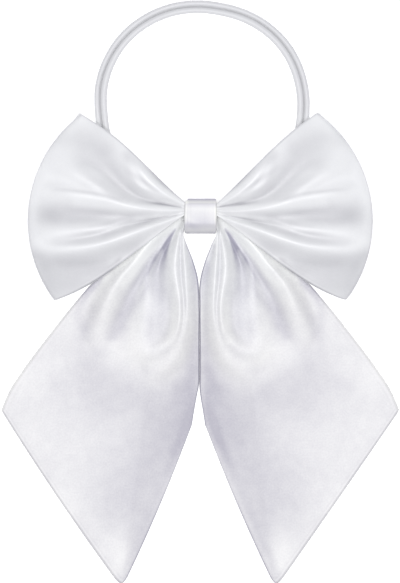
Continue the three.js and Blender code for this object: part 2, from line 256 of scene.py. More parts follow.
@dataclass(frozen=True)
class ClothEdge:
    """Section of a doubled cloth near its edge: half round, then flat with a shallow seam line.

    Attributes:
        thickness: Thickness of the cloth, in mm.
        arc: Steps of the half round edge, from its rim to the face.
        flat: Distances of the rows that follow, in mm.
        seam: Which of those rows is pressed in by the seam.
        seam_depth: How deep it is pressed, in mm.
        full_span: Cloths narrower than this, in mm, have their edge rows drawn together.
    """

    thickness: float
    arc: int = 4
    flat: tuple[float, ...] = (1.1, 1.45, 1.8, 2.3, 3.0)
    seam: int = 1
    seam_depth: float = 0.04
    full_span: float = 24.0

    def rows(self) -> tuple[Array, Array]:
        """Rows of the edge: even steps round a quarter circle from the rim, then the flat ones.

        Returns:
            Their distances from the rim, and the offset of the upper face there, in mm.
        """
        turn = np.linspace(0, math.pi / 2, self.arc + 1)
        half = self.thickness / 2
        away = np.concatenate([half * (1 - np.cos(turn)), self.flat])
        face = np.concatenate([half * np.sin(turn), np.full(len(self.flat), half)])
        face[self.arc + 1 + self.seam] -= self.seam_depth
        return away, face

    def ring(self, span: Array, inner: int) -> tuple[Array, Array]:
        """Places round a section of the cloth, over its upper face and back under its lower one.

        Args:
            span: Breadth of the cloth at each section, in mm.
            inner: Number of even steps between the two edges' rows.

        Returns:
            The place across, 0 to 1, and the offset from the cloth's middle in mm, for every section
            (rows) and ring point (columns).
        """
        away, face = self.rows()
        squeeze = np.minimum(1, span / self.full_span)[:, None]
        share = away * squeeze / span[:, None]
        even = np.linspace(0, 1, inner + 1)[1:-1]
        middle = share[:, -1:] + even * (1 - 2 * share[:, -1:])
        across = np.concatenate([share, middle, 1 - share[:, ::-1]], axis=1)
        upper = np.concatenate([face, np.full(len(even), self.thickness / 2), face[::-1]])
        lower = np.minimum(upper, self.thickness / 2)
        ring_across = np.concatenate([across, across[:, -2:0:-1]], axis=1)
        ring_face = np.concatenate([upper, -lower[-2:0:-1]])
        return ring_across, np.broadcast_to(ring_face, ring_across.shape)


def tube_faces(columns: int, ring: int, cyclic: bool) -> Array:
    """Quads over a grid of rings. A cyclic grid joins its last ring to its first, and the ends of an
    open one are closed by quads between each ring's upper and lower half.

    Args:
        columns: Number of rings.
        ring: Points on each, an even number.
        cyclic: Whether the rings close up.

    Returns:
        Vertex numbers, four a face.
    """
    last = columns if cyclic else columns - 1
    i, j = np.meshgrid(np.arange(last), np.arange(ring), indexing="ij")
    here, there = i * ring, ((i + 1) % columns) * ring
    turn = (j + 1) % ring
    sides = np.stack([here + j, there + j, there + turn, here + turn], axis=-1).reshape(-1, 4)
    if cyclic:
        return sides
    k = np.arange(ring // 2)
    opposite, next_opposite = (ring - k) % ring, ring - k - 1
    cap = np.stack([k, k + 1, next_opposite, opposite], axis=-1)
    far = cap[:, ::-1] + (columns - 1) * ring
    return np.concatenate([sides, cap, far])


def signed_volume(points: Array, quads: Array) -> float:
    """Six times the volume that the quads enclose, negative where they face inwards."""
    a, b, c, d = (points[quads[:, k]] for k in range(4))
    return float(np.einsum("ij,ij->", a, np.cross(b, c)) + np.einsum("ij,ij->", a, np.cross(c, d)))


@dataclass
class ClothMesh:
    """A closed cloth surface on its way to a Blender object.

    Attributes:
        name: The piece's name.
        points: Points in mm, one row of the grid for each ring.
        cloth: Where each point lies on the flat cloth, in mm.
        shade: Painted shade and highlight at each point, 0 for the light colour to 1 for the deep one.
        cyclic: Whether the rings close up.
    """

    name: str
    points: Array
    cloth: Array
    shade: Array
    cyclic: bool

    def make(self) -> bpy.types.Object:
        """Makes the mesh object, faces outwards, with its cloth map and its shade attribute.

        Returns:
            The object, which is in the scene.
        """
        columns, ring = self.points.shape[:2]
        points = self.points.reshape(-1, 3)
        quads = tube_faces(columns, ring, self.cyclic)
        if signed_volume(points, quads) < 0:
            quads = quads[:, ::-1]
        mesh = bpy.data.meshes.new(self.name)
        mesh.from_pydata((points * MM).tolist(), [], quads.tolist())
        corners = np.empty(len(mesh.loops), np.int32)
        mesh.loops.foreach_get("vertex_index", corners)
        cloth_map = mesh.uv_layers.new(name="cloth")
        cloth_map.data.foreach_set("uv", self.cloth.reshape(-1, 2)[corners].astype(np.float32).ravel())
        shade = mesh.attributes.new("shade", "FLOAT", "POINT")
        shade.data.foreach_set("value", self.shade.ravel().astype(np.float32))
        mesh.polygons.foreach_set("use_smooth", np.ones(len(mesh.polygons), bool))
        mesh.validate()
        mesh.update()
        piece = bpy.data.objects.new(self.name, mesh)
        bpy.context.scene.collection.objects.link(piece)
        return piece


# Finishes


class Socket:
    """A number in a material, with the sums that are done on it."""

    def __init__(self, nodes: "Nodes", source: Any) -> None:
        """Wraps an output socket, or a plain number."""
        self.nodes, self.source = nodes, source

    def math(self, operation: str, *others: Any, clamp: bool = False) -> "Socket":
        """Adds a Math node.

        Args:
            operation: The node's operation.
            others: Its further inputs, as sockets or numbers.
            clamp: Whether the result is held between 0 and 1.

        Returns:
            The result.
        """
        inputs = {k: v for k, v in enumerate((self, *others))}
        return self.nodes.add("ShaderNodeMath", {"operation": operation, "use_clamp": clamp}, inputs)

    def __add__(self, other: Any) -> "Socket":
        """This and the other."""
        return self.math("ADD", other)

    __radd__ = __add__

    def __mul__(self, other: Any) -> "Socket":
        """This times the other."""
        return self.math("MULTIPLY", other)

    __rmul__ = __mul__

    def __sub__(self, other: Any) -> "Socket":
        """This less the other."""
        return self.math("SUBTRACT", other)

    def __rsub__(self, other: Any) -> "Socket":
        """The other less this."""
        return Socket(self.nodes, other).math("SUBTRACT", self)

    def sine(self) -> "Socket":
        """Sine of an angle in radians."""
        return self.math("SINE")

    def held(self) -> "Socket":
        """The number, held between 0 and 1."""
        return self.math("ADD", 0.0, clamp=True)


class Nodes:
    """The node tree of a new material."""

    def __init__(self, name: str) -> None:
        """Makes the material with an empty tree."""
        self.material = bpy.data.materials.new(name)
        self.material.use_nodes = True
        self.tree = self.material.node_tree
        self.tree.nodes.clear()

    def add(self, kind: str, settings: dict[str, Any], inputs: dict[Any, Any], output: Any = 0) -> Socket:
        """Adds a node.

        Args:
            kind: The node's type.
            settings: Its properties, which are set first.
            inputs: Values or sockets by input name or number.
            output: Name or number of the output that is wanted.

        Returns:
            That output.
        """
        node = self.tree.nodes.new(kind)
        for key, value in settings.items():
            setattr(node, key, value)
        for key, value in inputs.items():
            given = value.source if isinstance(value, Socket) else value
            if isinstance(given, bpy.types.NodeSocket):
                self.tree.links.new(given, node.inputs[key])
            else:
                node.inputs[key].default_value = given
        return Socket(self, node.outputs[output])

    def mix(self, share: Any, first: Any, second: Any, way: str = "MIX") -> Socket:
        """Mixes a share of the second colour into the first, in one of the Mix node's ways."""
        inputs = {"Factor": share, 6: first, 7: second}
        return self.add("ShaderNodeMix", {"data_type": "RGBA", "blend_type": way}, inputs, 2)

    def finish(self, shader: Socket) -> bpy.types.Material:
        """Adds the output node and joins the shader to it.

        Args:
            shader: The material's shader.

        Returns:
            The finished material.
        """
        output = self.tree.nodes.new("ShaderNodeOutputMaterial")
        self.tree.links.new(shader.source, output.inputs["Surface"])
        return self.material


@dataclass(frozen=True)
class Satin:
    """White polyester satin.

    Attributes:
        name: The material's name.
        light: Colour where the cloth lies open.
        deep: Colour of the painted shade, deep in the folds and wherever else the shade attribute is full.
        roughness: Roughness of the smooth face.
        thread: Distance between threads, in mm.
        slant_threads: Threads from one slanting line of the weave to the next.
        slant: How much those lines slant.
        slant_share: How much of the weave's relief they take up.
        mottle: How much soft patches darken the colour.
        patch: Size of those patches, in mm.
        grain: How much a fine grain darkens it.
        grain_size: Size of the grain, in mm.
        flat_tint: What the colour is multiplied by where the cloth lies flat.
        flat_from: Distances along the cloth where that tint sets in and is full, in mm.
        streak: How much the roughness varies along the threads.
        streak_scale: Streaks to the mm along the threads and across them.
        sheen: Strength of the soft gloss at grazing angles.
        relief: Height of the weave and the creases, in mm.
        weave_share: Share of that height that the weave has.
        streak_share: Share that the streaks along the threads have.
        grain_share: Share that the grain has.
        bump: Strength of the relief.
    """

    name: str
    light: Colour = (0.936, 0.944, 0.938)
    deep: Colour = (0.364, 0.362, 0.388)
    roughness: float = 0.36
    thread: float = 0.22
    slant_threads: float = 5.0
    slant: float = 0.4
    slant_share: float = 0.3
    mottle: float = 0.06
    patch: float = 5.0
    grain: float = 0.08
    grain_size: float = 0.9
    flat_tint: Colour = (1, 1, 1)
    flat_from: tuple[float, float] = (0, 1)
    streak: float = 0.06
    streak_scale: tuple[float, float] = (0.06, 1.4)
    sheen: float = 0.12
    relief: float = 0.05
    weave_share: float = 0.12
    streak_share: float = 0.9
    grain_share: float = 0.5
    bump: float = 0.5

    def colour(self, nodes: Nodes, along: Socket, patches: Socket, fine: Socket) -> Socket:
        """Goes from light to deep with the shade attribute, which carries the painted shade and painted
        highlights, and with soft patches and a fine grain, and tints the cloth where it lies flat.

        Args:
            nodes: The material's nodes.
            along: Distance along the cloth, in mm.
            patches: The patches' noise.
            fine: The grain's noise.

        Returns:
            The colour.
        """
        shade = nodes.add("ShaderNodeAttribute", {"attribute_name": "shade"}, {}, "Fac")
        tone = shade + (patches - 0.5) * self.mottle + (fine - 0.5) * self.grain
        # The shade attribute paints shade and highlights into the colour, from light to deep.
        mixed = nodes.mix(tone.held(), (*self.light, 1), (*self.deep, 1))
        span = {"Value": along, "From Min": self.flat_from[0], "From Max": self.flat_from[1]}
        flatness = nodes.add("ShaderNodeMapRange", {"interpolation_type": "SMOOTHSTEP"}, span)
        return nodes.mix(flatness, mixed, (*self.flat_tint, 1), "MULTIPLY")

    def weave(self, along: Socket, across: Socket) -> Socket:
        """Relief of the weave: the threads are a sine of the distance across the cloth, and fade in and out
        with a sine of a slanting distance.

        Args:
            along: Distance along the cloth, in mm.
            across: Distance across it, in mm.

        Returns:
            The relief, between -1 and 1.
        """
        warp = along * (2 * math.pi / (self.thread * self.slant_threads))
        weft = across * (2 * math.pi / self.thread)
        slanting = (warp + weft * self.slant).sine()
        return weft.sine() * (1 - self.slant_share + self.slant_share * slanting)

    def make(self) -> bpy.types.Material:
        """Builds the material: the colour, a roughness that varies in streaks along the threads, and a
        bump with the weave and fine creases.

        Returns:
            The material.
        """
        nodes = Nodes(self.name)
        place = nodes.add("ShaderNodeTexCoord", {}, {}, "Object")
        cloth = nodes.add("ShaderNodeUVMap", {"uv_map": "cloth"}, {})
        patches = self.noise(nodes, place, scale=1 / (self.patch * MM), detail=3.0)
        fine = self.noise(nodes, place, scale=1 / (self.grain_size * MM), detail=2.0)
        stretched = nodes.add("ShaderNodeMapping", {}, {"Vector": cloth, "Scale": (*self.streak_scale, 1)})
        streaks = self.noise(nodes, stretched, scale=1.0, detail=2.0)
        along = nodes.add("ShaderNodeSeparateXYZ", {}, {0: cloth})
        across = Socket(nodes, along.source.node.outputs[1])
        relief = self.weave(along, across) * self.weave_share
        relief = relief + streaks * self.streak_share + fine * self.grain_share
        bump_sizes = {"Strength": self.bump, "Distance": self.relief * MM, "Height": relief}
        inputs = {
            "Base Color": self.colour(nodes, along, patches, fine),
            "Roughness": self.roughness + (streaks - 0.5) * self.streak,
            "Normal": nodes.add("ShaderNodeBump", {}, bump_sizes),
            "Sheen Weight": self.sheen,
            "Sheen Roughness": 0.4,
            "Specular IOR Level": 0.5,
        }
        return nodes.finish(nodes.add("ShaderNodeBsdfPrincipled", {}, inputs))

    @staticmethod
    def noise(nodes: Nodes, vector: Socket, scale: float, detail: float) -> Socket:
        """Adds soft noise of the given scale, which varies between 0 and 1."""
        return nodes.add("ShaderNodeTexNoise", {}, {"Vector": vector, "Scale": scale, "Detail": detail})


def in_metres(sizes: tuple[float, float]) -> tuple[float, float]:
    """A pair of sizes in mm, in metres."""
    return sizes[0] * MM, sizes[1] * MM


def settle(piece: bpy.types.Object, satin: Satin, node: str) -> None:
    """Gives a piece its satin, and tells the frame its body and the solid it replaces.

    Args:
        piece: The piece.
        satin: Its finish, whose name is the slot's too.
        node: The solid's name.
    """
    piece.data.materials.append(satin.make())
    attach(piece, BODY)
    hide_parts(node)


# The two sides


@dataclass(frozen=True)
class Side:
    """What sets one side of the bow apart, in mm and degrees.

    Attributes:
        name: The side's name.
        outward: The sign of X on this side.
        top_angle: Where the loop's outer fold starts.
        waist_lift: How much higher the loop's upper edge leaves the knot.
        top_bow: How far that edge bows out.
        top_peak: How far the loop's upper corner is drawn out.
        low_peak: How far its lower corner is.
        point_out: Distance of the tail's point from the centre line.
        outer_bow: How far the outer part of the tail's end bows out.
        inner_bow: How far its inner part bows out.
        inner_shift: How far the inner edge of the tail lies past the other tail's mirror image.
        slit_shift: How much of that is lost where the two tails meet.
        corner_shift: How much further the tail's inner corner does.
    """

    name: str
    outward: float
    top_angle: float
    waist_lift: float
    top_bow: float
    top_peak: float
    low_peak: float
    point_out: float
    outer_bow: float
    inner_bow: float
    inner_shift: float
    slit_shift: float
    corner_shift: float


class Sides(Enum):
    """The bow's two sides, as they lie in the front view."""

    LEFT = Side(
        name="left",
        outward=-1,
        top_angle=53.4,
        waist_lift=0.9,
        top_bow=2.4,
        top_peak=1.3,
        low_peak=0,
        point_out=39.2,
        outer_bow=1.1,
        inner_bow=1.1,
        inner_shift=0,
        slit_shift=0,
        corner_shift=0,
    )
    RIGHT = Side(
        name="right",
        outward=1,
        top_angle=54.6,
        waist_lift=-0.15,
        top_bow=1.7,
        top_peak=0.4,
        low_peak=-0.3,
        point_out=37.7,
        outer_bow=0.2,
        inner_bow=1,
        inner_shift=-1.15,
        slit_shift=0.37,
        corner_shift=-1.02,
    )


def lifted(side: Side, plan: Array, height: Array) -> Array:
    """Puts plan points and heights together as points of the bow, mirrored for the left side."""
    return np.stack([side.outward * plan[..., 0], plan[..., 1], height], axis=-1)


# Loops


class Panel(Enum):
    """The two layers of a loop."""

    FRONT = "front"
    BACK = "back"


@dataclass(frozen=True)
class PanelHeights:
    """Heights of a layer of the loops at the stations, in mm: its upper edge, middle and lower edge."""

    top: tuple[float, ...]
    middle: tuple[float, ...]
    low: tuple[float, ...]


LOOP_STATIONS = (0, 0.12, 0.3, 0.5, 0.75, 1)
LOOP_HEIGHTS = {
    Panel.FRONT: PanelHeights(
        top=(10.9, 11.8, 12.8, 13.2, 12.6, 11),
        middle=(10.9, 12.6, 15.2, 16.2, 15.2, 13),
        low=(10.9, 11.5, 12.1, 12.2, 11.6, 10.6),
    ),
    Panel.BACK: PanelHeights(
        top=(8.2, 7.5, 6, 5.1, 4.8, 4.6),
        middle=(8.2, 7.4, 5.6, 4.8, 4.6, 4.4),
        low=(8.2, 8.7, 8.5, 7.2, 5.6, 4.9),
    ),
}
LOOP_FOLD_STATIONS = (0, 0.12, 0.3, 0.6, 0.9)
LOOP_FOLDS = (
    Fold(
        "upper ridge",
        at=(0.22, 0.17, 0.11, -0.03, -0.08),
        rise=(0.4, 1.5, 1.7, 0.5, 0),
        near=0.9,
        far=4,
    ),
    Fold("second ridge", at=(0.26, 0.24, 0.25, 0, -0.1), rise=(0, 0.3, 0.4, 0.1, 0), near=0.6, far=3),
    Fold(
        "upper valley",
        at=(0.42, 0.42, 0.4, 0.24, 0.17),
        rise=(-0.4, -1.6, -2.2, -1.6, -0.3),
        near=1,
        far=7,
    ),
    Fold("fork ridge", at=(0.5, 0.48, 0.46, 0.36, 0.29), rise=(0, 0, 0.3, 1.2, 0.5), near=1.2, far=4),
    Fold("fork valley", at=(0.53, 0.51, 0.48, 0.4, 0.345), rise=(0, 0, -0.2, -0.8, -0.2), near=1, far=3),
    Fold(
        "middle ridge",
        at=(0.58, 0.55, 0.5, 0.447, 0.452),
        rise=(0.4, 1.5, 1.8, 1.3, 0.6),
        near=1,
        far=4,
    ),
    Fold(
        "wide valley",
        at=(0.68, 0.66, 0.62, 0.563, 0.56),
        rise=(0, -0.4, -1.2, -2, -0.8),
        near=1.5,
        far=8,
    ),
    Fold(
        "dark valley",
        at=(0.76, 0.757, 0.713, 0.7, 0.7),
        rise=(-0.5, -1.4, -1.4, 0, 0),
        near=0.7,
        far=2,
    ),
    Fold("slim ridge", at=(0.8, 0.79, 0.74, 0.674, 0.662), rise=(0, 0, 0.3, 0.9, 0.4), near=1, far=3),
    Fold("slim valley", at=(0.82, 0.8, 0.76, 0.715, 0.7), rise=(0, 0, -0.3, -0.7, -0.3), near=1, far=2.5),
    Fold("main ridge", at=(0.9, 0.855, 0.82, 0.8, 0.74), rise=(0.4, 1.5, 2.4, 2.4, 1.2), near=0.9, far=4),
    Fold("lower valley", at=(1, 0.99, 0.96, 0.9, 0.8), rise=(0, -0.3, -0.8, -1.4, -0.6), near=1.5, far=8),
)
# Painted shade (positive strength) and painted highlights (negative strength) on the loops' front.
LOOP_TONES = (
    Stroke(
        "edge grey",
        out=(12.2, 18.7, 25.2, 31.2, 37.2),
        up=(11.8, 17.2, 22.8, 28.2, 33.2),
        strength=(0.3, 0.45, 0.25, 0.03, -0.03),
        width=(1, 1.5, 1.5, 1.5, 1.5),
    ),
    Stroke(
        "upper light",
        out=(9.2, 16.2, 22.7, 28.7, 35.2, 41.2, 47.2),
        up=(6.2, 11.8, 16.8, 22.2, 26.8, 32.8, 38.2),
        strength=(-0.1, -0.15, -0.14, -0.1, -0.02, -0.03, 0),
        width=(0.75, 1.25, 1.5, 2, 3, 3.5, 4),
    ),
    Stroke(
        "broad grey",
        out=(12.2, 20.2, 27.2, 34.7, 43.7, 52.7, 59.2, 65.2),
        up=(5.8, 7.2, 9.2, 13.8, 21.2, 30.8, 37.8, 41.8),
        strength=(0, 0, 0.24, 0.32, 0.44, 0.4, 0.2, 0.05),
        width=(0.75, 1.5, 2.5, 4.5, 6.5, 6.5, 5, 4),
    ),
    Stroke(
        "dark crease",
        out=(10.2, 14.7, 20.2, 25.2, 30.2),
        up=(4.8, 5.5, 6.4, 6.9, 8),
        strength=(0.55, 0.74, 0.8, 0.33, 0.05),
        width=(0.4, 0.5, 0.7, 0.8, 1),
    ),
    Stroke(
        "fork light",
        out=(47.7, 53.2, 58.7, 64.7),
        up=(11.8, 15.2, 19.2, 23.8),
        strength=(0, 0, -0.08, -0.05),
        width=(1, 1.25, 1.75, 3),
    ),
    Stroke(
        "fork low light",
        out=(51.7, 57.7, 66.2, 74.2, 79.2),
        up=(11.2, 14.8, 17.8, 19.2, 19.8),
        strength=(0.05, 0.05, -0.05, -0.09, -0.08),
        width=(0.75, 1, 1.25, 1.75, 2.5),
    ),
    Stroke(
        "fork line",
        out=(37.7, 44.2, 51.2, 59.2, 69.2, 75.2),
        up=(7.2, 9.2, 11, 12.2, 13.2, 13.2),
        strength=(0, 0.12, 0.22, 0.22, 0.14, 0),
        width=(0.5, 0.75, 0.75, 0.65, 0.65, 1),
    ),
    Stroke(
        "middle light",
        out=(8.7, 17.7, 26.2, 35.2, 44.2, 55.2, 67.2, 76.2),
        up=(2.8, 3.8, 4.8, 6.2, 8, 9.8, 10.8, 11.8),
        strength=(0, -0.15, -0.15, -0.05, 0.06, -0.02, 0, -0.08),
        width=(0.5, 0.8, 0.9, 1, 1.1, 1.5, 1.5, 2),
    ),
    Stroke(
        "wide grey",
        out=(11.2, 20.2, 30.2, 40.2, 51.2, 63.2, 73.2, 79.2, 83.2),
        up=(2, 1.8, 1.2, 0.9, 1, 1.1, 1.2, 1.2, 0.8),
        strength=(0.06, 0.06, 0.18, 0.3, 0.5, 0.52, 0.46, 0.25, 0.04),
        width=(0.5, 1.1, 1.4, 2, 2.6, 3.3, 3.5, 3.5, 3.5),
    ),
    Stroke(
        "low crease",
        out=(11.7, 17.2, 22.7, 27.7, 32.7, 38.2),
        up=(0.6, -0.4, -1.4, -2.5, -3.7, -4.9),
        strength=(0.3, 0.45, 0.6, 0.5, 0.33, 0.18),
        width=(0.4, 0.4, 0.6, 0.9, 1.1, 1.2),
    ),
    Stroke(
        "slim light",
        out=(36.2, 43.7, 51.2, 60.2, 69.2, 76.2),
        up=(-5.2, -6, -6.8, -7.5, -8.2, -9.8),
        strength=(0.05, 0.14, 0.08, 0.05, -0.08, -0.08),
        width=(0.75, 0.9, 1, 1, 1.2, 2),
    ),
    Stroke(
        "slim grey",
        out=(30.2, 37.2, 44.2, 52.7, 62.2, 70.2, 76.2),
        up=(-5.8, -7, -8.3, -9.8, -11, -11.8, -12.5),
        strength=(0, 0.12, 0.3, 0.27, 0.29, 0.17, 0.06),
        width=(0.5, 0.8, 1.2, 1.6, 1.7, 1.6, 1.6),
    ),
    Stroke(
        "main light",
        out=(9.2, 16.2, 23.2, 31.2, 39.2, 47.2, 56.2, 66.2, 74.7, 80.2),
        up=(0.5, -1.8, -4, -7.2, -10.5, -13, -15, -16.2, -15.8, -12.8),
        strength=(-0.15, -0.15, -0.14, -0.08, -0.06, 0, -0.05, -0.14, -0.15, -0.08),
        width=(0.5, 0.75, 0.9, 1, 1.2, 1.4, 1.5, 1.7, 2.25, 2.5),
    ),
    Stroke(
        "low grey",
        out=(16.2, 25.2, 35.2, 46.2, 57.2, 68.2, 76.2, 81.7),
        up=(-4.8, -10.8, -16.8, -19.2, -21.8, -22.8, -21.8, -18.8),
        strength=(-0.1, -0.05, 0.27, 0.1, 0.16, 0.3, 0.27, 0.25),
        width=(1, 2, 3, 3.5, 4, 4, 4, 3),
    ),
    Stroke(
        "low corner",
        out=(47.7, 60.2, 71.2),
        up=(-26.8, -30.8, -33.8),
        strength=(0.42, 0.45, 0.24),
        width=(4.5, 5.5, 6),
    ),
    Stroke(
        "rim light",
        out=(73.2, 79.2, 82.2, 83.2, 82.7, 81.7),
        up=(38.2, 25.8, 13.2, 0.8, -9.2, -14.8),
        strength=(0, -0.15, -0.2, -0.06, -0.06, -0.1),
        width=(3, 3.5, 2.5, 2, 2.5, 3),
    ),
    Stroke(
        "corner light",
        out=(60.2, 64.2),
        up=(48.2, 44.2),
        strength=(-0.15, -0.12),
        width=(4.5, 3.5),
    ),
    Stroke(
        "fork upper light",
        out=(38.2, 42.7, 47.7, 53.2, 59.2),
        up=(10.2, 14.2, 18.2, 21.7, 25.2),
        strength=(0, -0.12, -0.2, -0.2, 0),
        width=(1.5, 2, 2.2, 2, 2),
    ),
    Stroke(
        "under middle light",
        out=(26.2, 34.2, 43.2, 52.2, 61.2),
        up=(3.4, 4.2, 4.8, 5.4, 6.2),
        strength=(0, -0.1, -0.12, -0.14, -0.12),
        width=(1, 1.4, 1.8, 2, 2),
    ),
    Stroke(
        "under middle grey",
        out=(24.7, 31.2, 37.7, 43.2, 49.2),
        up=(0.4, 0, -1.4, -3, -3.6),
        strength=(0.1, 0.12, 0.36, 0.22, 0.03),
        width=(0.8, 1.1, 1.4, 1.4, 1.4),
    ),
    Stroke(
        "low wash",
        out=(42.2, 50.2, 60.2, 68.2),
        up=(-24, -26.2, -26.8, -27),
        strength=(0.08, 0.12, 0.08, 0.03),
        width=(1.5, 2.3, 2.5, 2.5),
    ),
    Stroke(
        "low rim grey",
        out=(79.2, 77.7, 75.7, 72.7),
        up=(-21.5, -26.5, -31.5, -37),
        strength=(0.05, 0.12, 0.08, 0.03),
        width=(2, 2.3, 2.5, 2.5),
    ),
    Stroke(
        "valley grey",
        out=(31.2, 35.2, 39.2, 43.7, 48.2),
        up=(10.4, 13.2, 15.6, 18, 20.4),
        strength=(0.1, 0.14, 0.1, 0.06, 0),
        width=(0.8, 1.1, 1.2, 1.3, 1.3),
    ),
    Stroke(
        "above slim",
        out=(40.2, 47.2, 55.2),
        up=(-3.8, -4.2, -5),
        strength=(0.08, 0.12, 0.06),
        width=(0.8, 1, 1),
    ),
    Stroke(
        "main flank grey",
        out=(40.2, 50.2, 60.2, 70.2, 76.2),
        up=(-9.3, -12, -13.6, -14.2, -13.5),
        strength=(0, 0.07, 0.1, 0.1, 0),
        width=(0.7, 0.8, 0.9, 1, 1),
    ),
    Stroke(
        "upper rim light",
        out=(68.2, 70.2, 71.2, 70.2),
        up=(38, 32, 24, 18),
        strength=(0, -0.07, -0.04, 0),
        width=(3, 3.5, 3.5, 3),
    ),
    Stroke(
        "low edge line",
        out=(38.2, 40.7, 43.7, 46.7),
        up=(-20.3, -21.8, -24.2, -26),
        strength=(0, 0.28, 0.12, 0),
        width=(0.7, 0.9, 0.9, 0.8),
    ),
    Stroke(
        "wide upper grey",
        out=(40.2, 45.2, 52.2, 60.2, 66.2),
        up=(0.4, 0.3, 1.2, 2.2, 2.6),
        strength=(0, 0.08, 0.06, 0.06, 0.03),
        width=(0.8, 1, 1.3, 1.5, 1.5),
    ),
    Stroke(
        "slim low grey",
        out=(48.2, 54.2, 60.2, 66.2),
        up=(-7.6, -8.4, -9.2, -9.8),
        strength=(0.1, 0.15, 0.09, 0.04),
        width=(0.8, 0.8, 0.8, 0.8),
    ),
    Stroke(
        "low edge grey",
        out=(18.2, 24.2, 30.2, 36.2, 41.2),
        up=(-6.2, -9.4, -12.5, -16, -19.4),
        strength=(0.04, 0.08, 0.12, 0.02, 0),
        width=(0.8, 1, 1.2, 1.3, 1.3),
    ),
    Stroke(
        "valley line grey",
        out=(16.2, 20.2, 25.2, 30.2, 35.2, 40.2, 45.2, 49.2),
        up=(7.3, 8.2, 8.7, 9.8, 12.3, 16.3, 21, 25),
        strength=(0.03, 0.12, 0.13, 0.12, 0.04, 0.02, 0, 0),
        width=(0.6, 0.8, 0.8, 0.6, 0.6, 0.7, 0.9, 1),
    ),
    Stroke(
        "second light",
        out=(27.2, 30.2, 35.2, 40.2),
        up=(14.6, 16.8, 24.3, 32.3),
        strength=(-0.02, -0.04, -0.04, -0.02),
        width=(0.8, 0.9, 1.4, 2),
    ),
    Stroke(
        "grey between ridges",
        out=(21.2, 25.2, 30.2, 34.7, 38.7),
        up=(12.3, 15, 18.6, 21.8, 24.7),
        strength=(0.08, 0.16, 0.28, 0.18, 0.05),
        width=(0.5, 0.7, 1.1, 1.2, 1.2),
    ),
    Stroke(
        "upper flank grey",
        out=(30.2, 35.2, 39.2),
        up=(23.2, 29.6, 33.5),
        strength=(0.1, 0.2, 0.02),
        width=(1, 2, 2),
    ),
    Stroke(
        "upper wash",
        out=(43.2, 46.2, 50.2),
        up=(31, 33.5, 36),
        strength=(0.06, 0.12, 0.06),
        width=(2.5, 3, 3),
    ),
    Stroke(
        "wide low grey",
        out=(34.2, 40.2, 52.2, 60.2, 66.2, 73.2, 79.2),
        up=(-1.5, -1.4, -1.4, -1.6, -2, -2.4, -2.4),
        strength=(0.08, 0.05, 0.02, 0.05, 0.1, 0.12, 0.05),
        width=(1, 1, 1, 1.2, 1.7, 1.9, 2),
    ),
)


